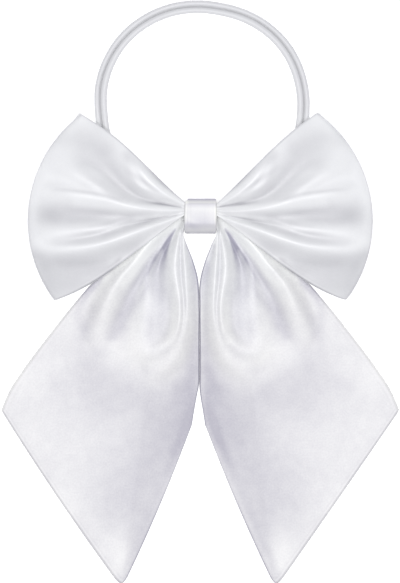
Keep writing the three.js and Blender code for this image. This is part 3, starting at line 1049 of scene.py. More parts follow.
@dataclass
class BowLoops:
    """The loops: one strip of satin, closed to a flattened ring and gathered at its middle."""

    cloth: float = 1.5
    waist_half: float = 8.15
    waist_top: float = 6.55
    waist_low: float = 0.3
    fold_centre: tuple[float, float] = (20, -2.1)
    fold_radius: float = 65.5
    low_angle: float = -37.2
    low_bow: float = 3
    nose_height: float = 7.2  # Height of the cloth's middle on the outer fold.
    nose_fullness: float = 10  # A higher one makes the outer fold blunter.
    direction_reach: float = 0.6  # Reach to which a ray's direction is taken.
    back_share: float = 0.3  # Share of the front's folds that the back has, the other way up.
    clearance: float = 1.9  # Least distance between the middles of the two layers.
    corner_radius: float = 6
    columns: int = 72
    rows: int = 100
    turn_step: float = 1e-3
    front_blend: float = 0.1  # Turn on either side of the rim where the front's tones set in.
    strip: tuple[float, float] = (104.0, 344.0)
    waisted_share: float = 0.68  # What the waisted cut leaves of the strip's rectangle.
    # Painted shade: the ground of the front's tones, an even shade where the cloth doesn't show, and a rim
    # along the edges.
    ground: float = 0.15
    hidden_painted_shade: float = 0.25
    edge_painted_shade: float = 0.3
    edge_width: float = 0.6
    resting_to: float = 0.7  # Reach up to which the lower edge lies on the tail.
    satin: Satin = Satin("loop_satin")

    def rim(self, degrees: Array) -> Array:
        """Points of the outer fold, on a circle about the fold centre.

        Args:
            degrees: Their angles above the level.

        Returns:
            Distances out and up, in mm.
        """
        angle = np.radians(degrees)
        ring = np.stack([np.cos(angle), np.sin(angle)], axis=-1)
        return np.array(self.fold_centre) + self.fold_radius * ring

    def plan(self, side: Side, reach: Array, across: Array) -> Array:
        """Plan of the loop: straight rays from the waist to the rim, bowed sideways by the cubic
        27/4 s² (1 - s) of the reach, which is 1 at its peak.

        Args:
            side: The side of the bow.
            reach: 0 at the knot's side, 1 at the rim, and down to -1 at the knot's middle.
            across: 0 on the upper edge, 1 on the lower.

        Returns:
            Distances out and up, in mm.
        """
        waist_top = self.waist_top + side.waist_lift * (1 + np.minimum(reach, 0))
        waist_up = waist_top + (self.waist_low - waist_top) * across
        waist = np.stack([np.full_like(waist_up, self.waist_half), waist_up], axis=-1)
        rim = self.rim(side.top_angle + (self.low_angle - side.top_angle) * across)
        ray = rim - waist
        sideways = unit(np.stack([-ray[..., 1], ray[..., 0]], axis=-1))
        s = np.maximum(reach, 0)[..., None]
        share = across[..., None]
        bow = (side.top_bow * (1 - share) - self.low_bow * share) * 27 / 4 * s**2 * (1 - s)
        place = waist + ray * s + sideways * bow
        centre = np.array(self.fold_centre)
        for degrees, peak in ((side.top_angle, side.top_peak), (self.low_angle, side.low_peak)):
            corner = self.rim(np.float64(degrees))
            place = drawn(place, corner, corner - centre, self.corner_radius, peak)
        inside = np.stack([self.waist_half * (1 + reach), waist_up], axis=-1)
        return np.where((reach <= 0)[..., None], inside, place)

    def panel(self, panel: Panel, reach: Array, across: Array) -> Array:
        """Height of a layer: across it a parabola through its middle and its two edges.

        Args:
            panel: The layer.
            reach: 0 or less at the knot, 1 at the rim.
            across: 0 on the upper edge, 1 on the lower.

        Returns:
            Heights in mm, without the folds.
        """
        heights = LOOP_HEIGHTS[panel]
        s = np.maximum(reach, 0)
        middle = spline(LOOP_STATIONS, heights.middle, s)
        top, low = (spline(LOOP_STATIONS, edge, s) for edge in (heights.top, heights.low))
        return middle + (np.where(across < 0.5, top, low) - middle) * (2 * across - 1) ** 2

    def span(self, side: Side, reach: Array) -> Array:
        """Breadth of the loop from edge to edge.

        Args:
            side: The side of the bow.
            reach: 0 or less at the knot, 1 at the rim.

        Returns:
            The straight distances in mm.
        """
        s = np.maximum(reach, 0)
        ends = self.plan(side, s, np.ones_like(s)) - self.plan(side, s, np.zeros_like(s))
        return np.linalg.norm(ends, axis=-1)

    @staticmethod
    def reach_of(turn: Array) -> Array:
        """Reach at a turn, which runs from 1 on the front at the knot's side, through 0 on the rim, to
        -1 on the back, and on to 2 and -2 at the knot's middle."""
        return np.where(np.abs(turn) > 1, 1 - np.abs(turn), 1 - turn**2)

    def folds(self, side: Side, reach: Array, across: Array) -> Array:
        """Height that the gathers add to the front, in mm."""
        s = np.maximum(reach, 0)
        return gathers(LOOP_FOLDS, LOOP_FOLD_STATIONS, s, across, self.span(side, reach))

    def middle(self, side: Side, turn: Array, across: Array) -> tuple[Array, Array]:
        """Middle of the cloth: each layer's height, drawn in to the nose height towards the rim, by the
        root of 1 less a power of the reach.

        Args:
            side: The side of the bow.
            turn: Place on the way round the loop, see reach_of.
            across: Place from the upper to the lower edge.

        Returns:
            The plan and the height, in mm.
        """
        reach = self.reach_of(turn)
        s = np.maximum(reach, 0)
        folds = self.folds(side, reach, across)
        back = self.panel(Panel.BACK, reach, across) - self.back_share * folds
        front = np.maximum(self.panel(Panel.FRONT, reach, across) + folds, back + self.clearance)
        fullness = np.sqrt(1 - s**self.nose_fullness)
        height = self.nose_height + (np.where(turn >= 0, front, back) - self.nose_height) * fullness
        return self.plan(side, reach, across), height

    def points(self, side: Side, turn: Array, across: Array, offset: Array) -> Array:
        """Points of the cloth's faces: its middle, offset at a right angle to the way round the loop.

        Args:
            side: The side of the bow.
            turn: Place on the way round the loop.
            across: Place from the upper to the lower edge.
            offset: Distance from the cloth's middle, outwards, in mm.

        Returns:
            The points, in mm.
        """
        ahead, ahead_up = self.middle(side, turn - self.turn_step, across)
        behind, behind_up = self.middle(side, turn + self.turn_step, across)
        plan, height = self.middle(side, turn, across)
        out = self.plan(side, np.full_like(across, self.direction_reach), across)
        radial = unit(out - self.plan(side, np.zeros_like(across), across))
        radial = np.where((np.abs(turn) > 1)[..., None], np.array([1.0, 0.0]), radial)
        forward = np.sum((ahead - behind) * radial, axis=-1)
        rise = ahead_up - behind_up
        length = np.hypot(forward, rise)
        at_middle = np.abs(turn) == 2
        sideways = np.where(at_middle, 0, -rise / length * offset)
        upward = np.where(at_middle, np.sign(turn), forward / length) * offset
        return lifted(side, plan + radial * sideways[..., None], height + upward)

    def shade(self, side: Side, turn: Array, across: Array, offset: Array) -> Array:
        """Painted shade and highlight on the cloth: on the front a ground with the strokes and a rim of
        painted shade, and an even painted shade where it doesn't show. The rim fades by a bell curve of the
        distance from the nearest edge, and turns to a painted highlight where the lower edge rests on the
        tail.

        Args:
            side: The side of the bow.
            turn: Place on the way round the loop.
            across: Place from the upper to the lower edge.
            offset: Distance from the cloth's middle, outwards, in mm.

        Returns:
            Shades, 0 to 1.
        """
        reach = self.reach_of(turn)
        plan = self.plan(side, reach, across)
        front = smoothstep(-self.front_blend, self.front_blend, turn) * (offset > 0)
        from_centre = np.linalg.norm(plan - np.array(self.fold_centre), axis=-1)
        from_edge = np.minimum(across, 1 - across) * self.span(side, reach[:, 0])[:, None]
        from_edge = np.minimum(from_edge, self.fold_radius - from_centre)
        resting = (across > 0.5) * smoothstep(self.resting_to, 0, reach)
        # Painted shade along the edges, a painted highlight where the lower edge rests on the tail.
        rim = self.edge_painted_shade * np.exp(-((from_edge / self.edge_width) ** 2)) * (1 - 2 * resting)
        tone = np.clip(self.ground + layered(LOOP_TONES, plan) + rim, 0, 1)
        return self.hidden_painted_shade + (tone - self.hidden_painted_shade) * front

    def make(self) -> bpy.types.Object:
        """Builds the loops as one closed ring of cloth, out round the left loop and back round the right.

        Returns:
            The piece.
        """
        edge = ClothEdge(self.cloth)
        outwards = np.concatenate([[2, 1.5], 1 - np.arange(self.columns + 1) / self.columns])
        turns = np.concatenate([outwards, -outwards[-2::-1]])
        # Each side takes up four of the strip's eight units of turn.
        turn_length = self.strip[1] / 8
        parts = []
        for side, way in ((Sides.LEFT.value, turns), (Sides.RIGHT.value, turns[1:-1][::-1])):
            across, offset = edge.ring(self.span(side, self.reach_of(way)), self.rows)
            turn = np.broadcast_to(way[:, None], across.shape)
            cloth = np.stack([side.outward * turn * turn_length, across * self.strip[0]], axis=-1)
            shade = self.shade(side, turn, across, offset)
            parts.append((self.points(side, turn, across, offset), cloth, shade))
        points, cloth, shade = (np.concatenate(part) for part in zip(*parts))
        return ClothMesh("satin_loops", points, cloth, shade, cyclic=True).make()

    def dress(self, piece: bpy.types.Object) -> None:
        """Gives the loops their satin and tells the frame what they are.

        Args:
            piece: The loops.
        """
        settle(piece, self.satin, "bow_loops")
        width, length = in_metres(self.strip)


# Tails

TAIL_STATIONS = (0, 0.04, 0.1, 0.2, 0.3, 0.45, 0.6, 0.75, 0.82, 0.88, 0.94, 1)
TAIL_HEIGHTS = (5.6, 5.4, 4.8, 3.9, 3.0, 2.0, 1.25, 0.85, 0.85, 0.85, 0.85, 0.85)
TAIL_FOLD_STATIONS = (0, 0.1, 0.2, 0.3, 0.4, 0.5, 0.65)
TAIL_FOLDS = (
    Fold(
        "outer valley",
        at=(0, 0, 0, 0.03, 0.05, 0.08, 0.13),
        rise=(0, 0, -0.3, -0.8, -0.8, -0.7, 0),
        near=1,
        far=6,
    ),
    Fold(
        "broad ridge",
        at=(0.06, 0.07, 0.09, 0.12, 0.13, 0.15, 0.17),
        rise=(0.3, 1.4, 2.6, 3.2, 3.0, 2.0, 0),
        near=1,
        far=6,
        lean=-0.2,
    ),
    Fold(
        "blunt valley",
        at=(0.19, 0.21, 0.25, 0.265, 0.25, 0.265, 0.26),
        rise=(-0.3, -1.2, -1.4, -1.5, -1.4, -1.0, 0),
        near=1,
        far=7,
    ),
    Fold(
        "thin ridge",
        at=(0.27, 0.295, 0.3, 0.3, 0.36, 0.4, 0.4),
        rise=(0.2, 1.2, 1.8, 0.8, 0, 0, 0),
        near=0.7,
        far=3,
    ),
    Fold(
        "deep wedge",
        at=(0.33, 0.33, 0.34, 0.42, 0.46, 0.5, 0.5),
        rise=(-0.4, -2.2, -2.8, -1.6, -0.4, 0, 0),
        near=0.9,
        far=7,
    ),
)
TAIL_RIDGES = (
    Stroke(
        "left arm",
        out=(22.2, 24.7, 26, 27, 27.7, 28.2),
        up=(-27.8, -35.8, -43.8, -51.8, -58.8, -64.8),
        strength=(0, 0.35, 0.5, 0.5, 0.4, 0.2),
        width=(2, 2.6, 3, 3.2, 3.4, 3.6),
    ),
    Stroke(
        "curled ridge",
        out=(9.9, 10.7, 11.5, 12.4, 12.7, 11.7, 10.7, 10.7, 11.9, 14.7, 19.2, 25.2, 31.2, 36.7),
        up=(-2.8, -7.8, -13.8, -19.8, -26.8, -35.2, -43.2, -50.2, -56.8, -62, -66.1, -68.2, -67.4, -65.4),
        strength=(0.5, 1.2, 1.9, 2.3, 2.5, 2.7, 2.6, 2.3, 1.9, 1.4, 1, 0.7, 0.35, 0.1),
        width=(0.8, 1.1, 1.5, 1.8, 2.1, 2.3, 2.3, 2.3, 2.5, 2.8, 3.2, 3.5, 4, 4),
    ),
    Stroke(
        "slit",
        out=(9.7, 9.7, 9.8, 9.4, 8.5, 8.4, 9.4, 11.2),
        up=(-6.8, -14.2, -22.8, -31.8, -40.8, -48.8, -56.8, -62.8),
        strength=(-0.4, -0.85, -1, -1, -0.9, -0.75, -0.5, -0.1),
        width=(0.5, 0.7, 0.8, 0.85, 0.9, 0.95, 1, 1),
    ),
    Stroke(
        "inner ridge",
        out=(8.9, 8.7, 8.2, 7.4, 6.7, 6.2, 6.7, 8.2, 10.7, 15.7, 22.7, 29.2),
        up=(-4.8, -11.8, -19.8, -27.8, -36.8, -44.8, -52.8, -60.8, -67.8, -73.8, -77.2, -77.2),
        strength=(0.4, 1.2, 1.9, 2.3, 2.5, 2.4, 2, 1.5, 1.1, 0.8, 0.4, 0),
        width=(0.7, 1, 1.3, 1.7, 2.1, 2.4, 2.6, 2.7, 3, 3.5, 4, 4),
    ),
    Stroke(
        "waist swell",
        out=(8.15, 8.15, 8.15),
        up=(-2.6, -4.3, -6),
        strength=(2.6, 2.4, 2),
        width=(1, 1, 1),
    ),
)
# Painted shade (positive strength) and painted highlights (negative strength) on the tails' upper face.
TAIL_TONES = (
    Stroke(
        "outer grey",
        out=(36.2, 43.2, 48.2, 52.2, 55.7, 58.2, 60.7),
        up=(-23.8, -30.2, -37.2, -44.2, -51.8, -58.2, -64.8),
        strength=(0, 0.12, 0.12, 0.18, 0.22, 0.22, 0.04),
        width=(1, 2, 2.4, 2.5, 2.4, 2.25, 2.5),
    ),
    Stroke(
        "broad light",
        out=(12.2, 18.2, 24.7, 31.7, 38.7, 44.2, 48.2, 51.2, 53.7),
        up=(-2.2, -7.8, -14.8, -23.2, -32.2, -40.8, -48.8, -56.2, -62.8),
        strength=(-0.12, -0.12, -0.1, 0, 0.02, 0.02, 0.02, 0, -0.08),
        width=(0.75, 1.5, 2.25, 2.75, 2.5, 2, 1.9, 2.25, 2.5),
    ),
    Stroke(
        "blunt grey",
        out=(17.2, 22, 27, 31.8, 35.9, 38.8, 41, 43.2),
        up=(-10.8, -18.2, -25.8, -33.2, -40.8, -48.3, -54.7, -59.3),
        strength=(-0.05, 0.45, 0.48, 0.5, 0.44, 0.52, 0.48, 0.4),
        width=(0.5, 1, 1.5, 1.9, 2.4, 2.6, 2.8, 2.6),
        lean=0.1,
    ),
    Stroke(
        "thin dark",
        out=(16.2, 19.8, 22.6, 24.3, 26.2),
        up=(-11.8, -17, -21.5, -24.5, -28.2),
        strength=(0.6, 0.3, 0.3, 0.15, 0.25),
        width=(0.35, 0.4, 0.5, 0.5, 0.5),
    ),
    Stroke(
        "wedge",
        out=(12.4, 14.7, 16.4, 17.5, 18.3, 18.9, 19.2, 19.7),
        up=(-6.6, -10.2, -14.2, -18.2, -22.8, -27.8, -33.2, -39.2),
        strength=(0.5, 1.1, 1.3, 0.9, 0.42, 0.28, 0.12, 0.05),
        width=(0.45, 0.75, 1.05, 1.3, 1.8, 2.25, 2.5, 2.5),
        lean=0.35,
    ),
    Stroke(
        "wedge wash",
        out=(20.7, 22.7, 21.7, 19.7, 19.2, 19.7, 21.7),
        up=(-22.8, -29.2, -36.8, -44.2, -51.2, -58.2, -64.8),
        strength=(0.35, 0.34, 0.46, 0.42, 0.45, 0.4, 0.22),
        width=(2, 3, 4, 4.6, 4.6, 4.6, 4.6),
    ),
    Stroke(
        "inner grey",
        out=(6.7, 4.7, 3.4, 2.7, 2.4, 2.2, 2.4, 3.4, 4.4),
        up=(-14.8, -21.8, -29.2, -37.8, -47.8, -57.8, -66.8, -74.8, -80.8),
        strength=(0.3, 0.3, 0.33, 0.28, 0.25, 0.25, 0.34, 0.2, 0.08),
        width=(0.75, 1.1, 1.3, 1.5, 1.6, 1.8, 2.2, 2.8, 3),
    ),
    Stroke(
        "inner violet shade",
        out=(4.2, 6.2, 9.2, 13.7, 19.2, 25.2, 29.2, 32.2, 34.7),
        up=(-77.8, -87.8, -97.8, -108.8, -120.8, -132.8, -144.8, -155.8, -164.2),
        strength=(0.3, 0.48, 0.4, 0.33, 0.25, 0.22, 0.2, 0.2, 0.08),
        width=(3.5, 5.5, 7, 7.5, 7.5, 8, 7, 4.5, 3.5),
    ),
    Stroke(
        "middle grey",
        out=(60.2, 52.2, 40.2, 27.2, 30.2, 36.2, 41.2, 44.2),
        up=(-77.8, -87.8, -91.8, -95.8, -111.8, -129.2, -142.8, -152.8),
        strength=(0.06, 0.17, 0.2, 0.26, 0.18, 0.18, 0.17, 0.16),
        width=(6, 7.5, 8, 8, 9, 8, 7, 5),
    ),
    Stroke(
        "tip light",
        out=(44.2, 41.2, 39.7),
        up=(-157.8, -166.8, -174.8),
        strength=(-0.06, -0.14, -0.18),
        width=(4.5, 4.5, 3.5),
    ),
    Stroke(
        "curl end light",
        out=(14.7, 18.7, 23.7, 29.7, 34.2),
        up=(-64.8, -69.8, -71.8, -71.3, -69.3),
        strength=(0.05, 0.03, -0.03, -0.05, -0.04),
        width=(1.5, 2, 2.8, 3, 3),
    ),
    Stroke(
        "inner edge violet shade",
        out=(2.2, 3.7, 7.2, 12.2, 17.7, 24.2, 30.2, 35.2, 38.2),
        up=(-84.2, -94.2, -106.8, -119.2, -131.8, -146.8, -161.8, -171.8, -180.2),
        strength=(0, 0.15, 0.34, 0.25, 0.1, 0.12, 0.18, 0.22, 0.15),
        width=(1.5, 2, 2.2, 2.2, 2, 2, 2, 2, 2),
    ),
    Stroke(
        "under curl grey",
        out=(12.7, 25.2, 39.2, 52.2),
        up=(-84.8, -87.8, -80.8, -76.8),
        strength=(0.1, 0.1, 0.13, 0.1),
        width=(3, 4, 5, 6),
    ),
    Stroke(
        "shoulder grey",
        out=(52.7, 60.2, 70.2),
        up=(-66.8, -78.8, -84.8),
        strength=(0.13, 0.06, 0.13),
        width=(6, 6, 4.5),
    ),
    Stroke(
        "left arm grey",
        out=(25.7, 27.2, 30.2, 32.2, 32.2, 31.2),
        up=(-29.3, -34.3, -40.8, -48.3, -56.3, -63.3),
        strength=(0.05, 0.08, 0.15, 0.18, 0.08, 0),
        width=(1.2, 1.8, 2.2, 2.4, 3, 3.5),
    ),
    Stroke(
        "slit grey",
        out=(9.7, 9.7, 9.8, 9.4, 8.5, 8.4, 9.4, 11.2),
        up=(-6.8, -14.2, -22.8, -31.8, -40.8, -48.8, -56.8, -62.8),
        strength=(0.08, 0.18, 0.2, 0.18, 0.12, 0.1, 0.06, 0),
        width=(0.4, 0.6, 0.8, 0.9, 0.95, 1, 1.1, 1.4),
    ),
    Stroke(
        "inner ridge grey",
        out=(7.9, 7.2, 6.9, 6.9, 8.2, 10.7),
        up=(-20.8, -29.8, -39.8, -49.8, -58.8, -64.8),
        strength=(0, 0.04, 0.08, 0.08, 0.04, 0),
        width=(0.8, 1.2, 1.3, 1.4, 1.7, 2),
    ),
    Stroke(
        "corner grey",
        out=(49.7, 52.7, 56.2, 59.2, 60.9, 60.7, 60.2),
        up=(-31.8, -34.9, -38, -42.3, -47.3, -53.8, -58.8),
        strength=(0.35, 0.6, 0.55, 0.38, 0.25, 0.15, 0),
        width=(0.9, 1.3, 1.7, 2.1, 2.3, 2.2, 2),
    ),
    Stroke(
        "contact",
        out=(65.2, 62.2, 59.2, 56.2, 52.7, 47.7, 42.7, 39.2),
        up=(-44.8, -41.8, -38.6, -35.8, -33, -29, -25.3, -22.3),
        strength=(0, 0.15, 0.3, 0.35, 0.4, 0.5, 0.25, 0),
        width=(0.5, 0.5, 0.55, 0.55, 0.6, 0.5, 0.45, 0.4),
    ),
    Stroke(
        "broad flank light",
        out=(20.2, 24.7, 29.7, 33, 37.2, 41.2),
        up=(-11.3, -16.3, -22.3, -28.3, -32.8, -37.3),
        strength=(0, -0.12, -0.2, -0.2, -0.1, 0),
        width=(0.8, 1.2, 1.5, 1.6, 1.5, 1.5),
    ),
    Stroke(
        "curl flank light",
        out=(13.7, 13.2, 13.4, 14, 16.8, 22.7, 29.2),
        up=(-36.8, -43, -49.3, -56.3, -62, -66.3, -66.8),
        strength=(0, -0.12, -0.2, -0.22, -0.18, -0.05, 0),
        width=(1, 1.2, 1.4, 1.6, 2, 2.2, 2.4),
    ),
    Stroke(
        "arm wash",
        out=(27.7, 26.2, 26, 25.7),
        up=(-40.3, -48.3, -56.3, -61.3),
        strength=(0.05, 0.16, 0.22, 0.12),
        width=(1.5, 2, 1.8, 1.8),
    ),
    Stroke(
        "inner turn light",
        out=(9.2, 9.2, 10, 13.2),
        up=(-58.8, -65.8, -71.8, -76.3),
        strength=(0, -0.02, -0.05, 0),
        width=(1.2, 1.6, 1.8, 2),
    ),
    Stroke(
        "second grey",
        out=(26.7, 29.7, 33.2, 35.4, 36.9, 38, 38.2),
        up=(-28.8, -33.8, -39.8, -45.8, -50.8, -56.3, -63.3),
        strength=(0.2, 0.1, 0.17, 0.22, 0.2, 0.18, 0.08),
        width=(0.5, 0.9, 1.4, 1.8, 2, 2.2, 2.4),
    ),
    Stroke(
        "flat grey",
        out=(74.2, 60.2, 52.2, 48.2, 49.7, 50.2),
        up=(-98, -98, -101, -112, -127, -141),
        strength=(0.05, 0.08, 0.09, 0.06, 0.08, 0.08),
        width=(7, 7, 7.5, 7.5, 7, 5.5),
    ),
    Stroke(
        "arm line",
        out=(26.2, 26.7, 27.1, 28.9, 31.2, 34),
        up=(-28.3, -31.3, -35.8, -39.3, -42.3, -47),
        strength=(0, 0.2, 0.22, 0.17, 0.15, 0.05),
        width=(0.5, 0.8, 1, 1.2, 1.4, 1.6),
    ),
    Stroke(
        "meeting grey",
        out=(3.6, 2.9, 1.9, 1.3, 1, 0.7, 0.5, 0.5),
        up=(-22.8, -25.8, -28.8, -31.8, -34.8, -38, -42, -47),
        strength=(0.25, 0.33, 0.38, 0.36, 0.32, 0.25, 0.15, 0),
        width=(0.8, 0.9, 1, 1, 0.8, 0.7, 0.6, 0.6),
    ),
    Stroke(
        "outer corner light",
        out=(78, 84, 90, 92),
        up=(-72, -79, -86, -94),
        strength=(0, -0.07, -0.06, 0),
        width=(4, 5, 5, 5),
    ),
    Stroke(
        "lower outer light",
        out=(88, 83.2, 78, 72),
        up=(-96, -104, -114, -124),
        strength=(0, -0.06, -0.03, 0),
        width=(4, 5, 5, 5),
    ),
    Stroke(
        "end light",
        out=(74, 70, 66, 60),
        up=(-130, -137, -146, -153),
        strength=(0, -0.08, -0.1, 0),
        width=(3, 4, 4, 4),
    ),
    Stroke(
        "below curl grey",
        out=(20.2, 24.7, 29.7, 34.2),
        up=(-75.3, -76.8, -76, -73.5),
        strength=(0, 0.12, 0.1, 0),
        width=(1.5, 1.8, 1.8, 1.8),
    ),
)


@dataclass(frozen=True)
class TailEdges:
    """The two edges of a tail in plan, in mm, at the stations from the knot to the end."""

    outer_out: tuple[float, ...]
    outer_up: tuple[float, ...]
    inner_out: tuple[float, ...]
    inner_up: tuple[float, ...]


@dataclass
class Tail:
    """One of the doubled, hemmed tails, gathered into the knot."""

    side: Side
    cloth: float = 1.6
    edge_rows: TailEdges = TailEdges(
        outer_out=(8.15, 11.4, 17, 27, 37, 52.2, 64.5, 76.8, 83, 88.4, 94.8, 99.7),
        outer_up=(0.9, -1.2, -4.8, -11, -18.5, -31.3, -45.3, -60.8, -68.9, -76.4, -86, -96.8),
        inner_out=(8.15, 8.5, 6.6, 3.4, 1.05, 0.44, 0.46, 0.46, 0.62, 1.85, 3.1, 4.25),
        inner_up=(-6.7, -9.2, -14.5, -22.8, -32, -46, -61, -76, -83.4, -90, -97, -104.2),
    )
    point_up: float = -186
    point_across: float = 0.55
    tip_radius: float = 7
    tip_pull: float = 2.2
    corner_radius: float = 4
    corner_pull: float = 0.2
    end_in_knot: float = 0.4  # Distance of the upper end from the centre line.
    # Reaches where the side's shifts of the inner edge set in and are full.
    shift_full: float = 0.1
    meeting_from: float = 0.33
    meeting_full: float = 0.46
    corner_shift_from: float = 0.78
    corner_shift_full: float = 0.9
    rest: float = 0.02  # Least distance from the floor.
    columns: int = 128
    rows: int = 92
    end_length: float = 150.0  # Length that one unit of reach stands for near the end.
    cut: tuple[float, float] = (104.0, 190.0)
    cut_share: float = 0.7  # What the pointed cut leaves of the rectangle.
    # Painted shade: the ground, lighter near the knot, painted shade along the inner edge and the end, and
    # a painted highlight along the outer edge.
    ground: float = 0.45
    gathered_ground: float = 0.12  # Tone of the ground near the knot.
    flattening: tuple[float, float] = (0.4, 0.72)  # Reaches between which the ground changes.
    edge_painted_shade: float = 0.8
    edge_width: float = 0.65
    outer_light: float = 0.3
    outer_light_from: tuple[float, float] = (0.58, 0.72)
    end_painted_shade: float = 0.35
    end_width: float = 1.4
    end_tone_from: tuple[float, float] = (0.52, 0.6)
    end_tone_to: tuple[float, float] = (0.95, 0.7)
    end_thickness: float = 0.06  # Share of the thickness that is left on the end.
    satin: Satin = Satin(
        "tail_satin",
        light=(0.934, 0.944, 0.928),
        deep=(0.371, 0.364, 0.437),
        mottle=0.2,
        grain=0.25,
        flat_tint=(1.013, 1, 0.973),
        flat_from=(42, 118),
        streak=0.03,
    )

    def edges(self, reach: Array) -> tuple[Array, Array]:
        """The tail's two edges: smooth curves through their rows, the inner one shifted where this side's
        tail differs from the other.

        Args:
            reach: 0 at the knot, 1 on the end.

        Returns:
            Distances out and up of the outer edge and of the inner one, in mm.
        """
        rows = self.edge_rows
        outer, inner = (
            np.stack([spline(TAIL_STATIONS, out, reach), spline(TAIL_STATIONS, up, reach)], axis=-1)
            for out, up in ((rows.outer_out, rows.outer_up), (rows.inner_out, rows.inner_up))
        )
        for shift, begun, full in (
            (self.side.inner_shift, 0, self.shift_full),
            (self.side.slit_shift, self.meeting_from, self.meeting_full),
            (self.side.corner_shift, self.corner_shift_from, self.corner_shift_full),
        ):
            inner[..., 0] += shift * smoothstep(begun, full, reach)
        return outer, inner

    def end(self, across: Array, outer: Array, inner: Array, tip: Array) -> Array:
        """The tail's end: an edge from the outer corner to the tip and one from there to the inner corner,
        each bowed by the parabola 4 t (1 - t) of the way along it.

        Args:
            across: 0 at the outer corner, 1 at the inner.
            outer: The outer corner.
            inner: The inner corner.
            tip: The tip.

        Returns:
            Distances out and up, in mm.
        """
        before = across < self.point_across
        first, second = across / self.point_across, (across - self.point_across) / (1 - self.point_across)
        t = np.where(before, first, second)
        start = np.where(before[..., None], outer, tip)
        run = np.where(before[..., None], tip, inner) - start
        proud = unit(np.stack([-run[..., 1], run[..., 0]], axis=-1))
        bow = np.where(before, self.side.outer_bow, self.side.inner_bow) * 4 * t * (1 - t)
        return start + run * t[..., None] + proud * bow[..., None]

    def plan(self, reach: Array, across: Array) -> Array:
        """Plan of the tail: straight lines between its edges, drawn out to the pointed end by the square
        of the reach.

        Args:
            reach: 0 at the knot, 1 on the end.
            across: 0 on the outer edge, 1 on the inner.

        Returns:
            Distances out and up, in mm.
        """
        corner, inner_corner = self.edges(np.float64(1.0))
        tip = np.array([self.side.point_out, self.point_up])
        outer, inner = self.edges(reach)
        share = across[..., None]
        straight = corner + (inner_corner - corner) * share
        end = self.end(across, corner, inner_corner, tip)
        place = outer + (inner - outer) * share + (end - straight) * reach[..., None] ** 2
        middle = (corner + inner_corner) / 2
        place = drawn(place, tip, middle - tip, self.tip_radius, self.tip_pull)
        return drawn(place, corner, middle - corner, self.corner_radius, self.corner_pull)

    def span(self, reach: Array) -> Array:
        """Breadth of the tail from edge to edge, in mm."""
        ends = self.plan(reach, np.ones_like(reach)) - self.plan(reach, np.zeros_like(reach))
        return np.linalg.norm(ends, axis=-1)

    def folds(self, reach: Array, across: Array) -> Array:
        """Height of the gathers and of the ridges that curl round below them, in mm."""
        folds = gathers(TAIL_FOLDS, TAIL_FOLD_STATIONS, reach, across, self.span(reach))
        return folds + layered(TAIL_RIDGES, self.plan(reach, across))

    def rim(self, reach: Array, across: Array) -> Array:
        """Painted shade along the inner edge and the inner part of the end, and a painted highlight along
        the outer edge, each fading by a bell curve.

        Args:
            reach: 0 at the knot, 1 on the end.
            across: 0 on the outer edge, 1 on the inner.

        Returns:
            Steps towards the deep colour.
        """
        widths = self.span(reach) / self.edge_width
        inner, outer = (np.exp(-((share * widths) ** 2)) for share in (1 - across, across))
        near_tip = smoothstep(*self.end_tone_from, across) * smoothstep(*self.end_tone_to, across)
        end = np.exp(-(((1 - reach) * self.end_length / self.end_width) ** 2)) * near_tip
        outer = outer * smoothstep(*self.outer_light_from, reach)
        return self.edge_painted_shade * inner - self.outer_light * outer + self.end_painted_shade * end

    def make(self) -> bpy.types.Object:
        """Builds the tail as one closed cloth, from inside the knot to its point. Its height is a smooth
        curve of the reach with the folds on it, and nowhere under the floor.

        Returns:
            The piece.
        """
        edge = ClothEdge(self.cloth)
        away, face = edge.rows()
        body = np.linspace(0, 1 - away[-1] / self.end_length, self.columns)
        reach = np.concatenate([[0.0], body, 1 - away[-2::-1] / self.end_length])
        closing = np.concatenate([np.ones(self.columns + 1), face[-2::-1] / face[-1]])
        across, offset = edge.ring(self.span(reach), self.rows)
        reach = np.broadcast_to(reach[:, None], across.shape)
        plan = self.plan(reach, across)
        plan[0, :, 0] = self.end_in_knot
        folds = self.folds(reach, across)
        height = np.maximum(spline(TAIL_STATIONS, TAIL_HEIGHTS, reach) + folds, self.cloth / 2 + self.rest)
        closed_offset = offset * np.maximum(closing, self.end_thickness)[:, None]
        points = lifted(self.side, plan, height + closed_offset)
        cloth = np.stack([reach * self.cut[1], across * self.cut[0]], axis=-1)
        # Painted shade and highlight: the ground, the tone strokes on the upper face and the rim.
        flatness = smoothstep(*self.flattening, reach)
        ground = self.gathered_ground + (self.ground - self.gathered_ground) * flatness
        shade = np.clip(ground + layered(TAIL_TONES, plan) * (offset > 0) + self.rim(reach, across), 0, 1)
        return ClothMesh(f"satin_tail_{self.side.name}", points, cloth, shade, cyclic=False).make()

    def dress(self, piece: bpy.types.Object) -> None:
        """Gives the tail its satin and tells the frame what it is.

        Args:
            piece: The tail.
        """
        settle(piece, self.satin, f"{self.side.name}_tail")
        width, length = in_metres(self.cut)


# Knot


@dataclass(frozen=True)
class KnotRows:
    """What changes from row to row of the knot's front, at distances up from its middle in mm.

    Attributes:
        up: The rows.
        left: Place of the left edge on each row, in mm.
        right: Place of the right edge.
        tone: Painted shade on the row, as a step towards the deep colour.
    """

    up: tuple[float, ...]
    left: tuple[float, ...]
    right: tuple[float, ...]
    tone: tuple[float, ...]
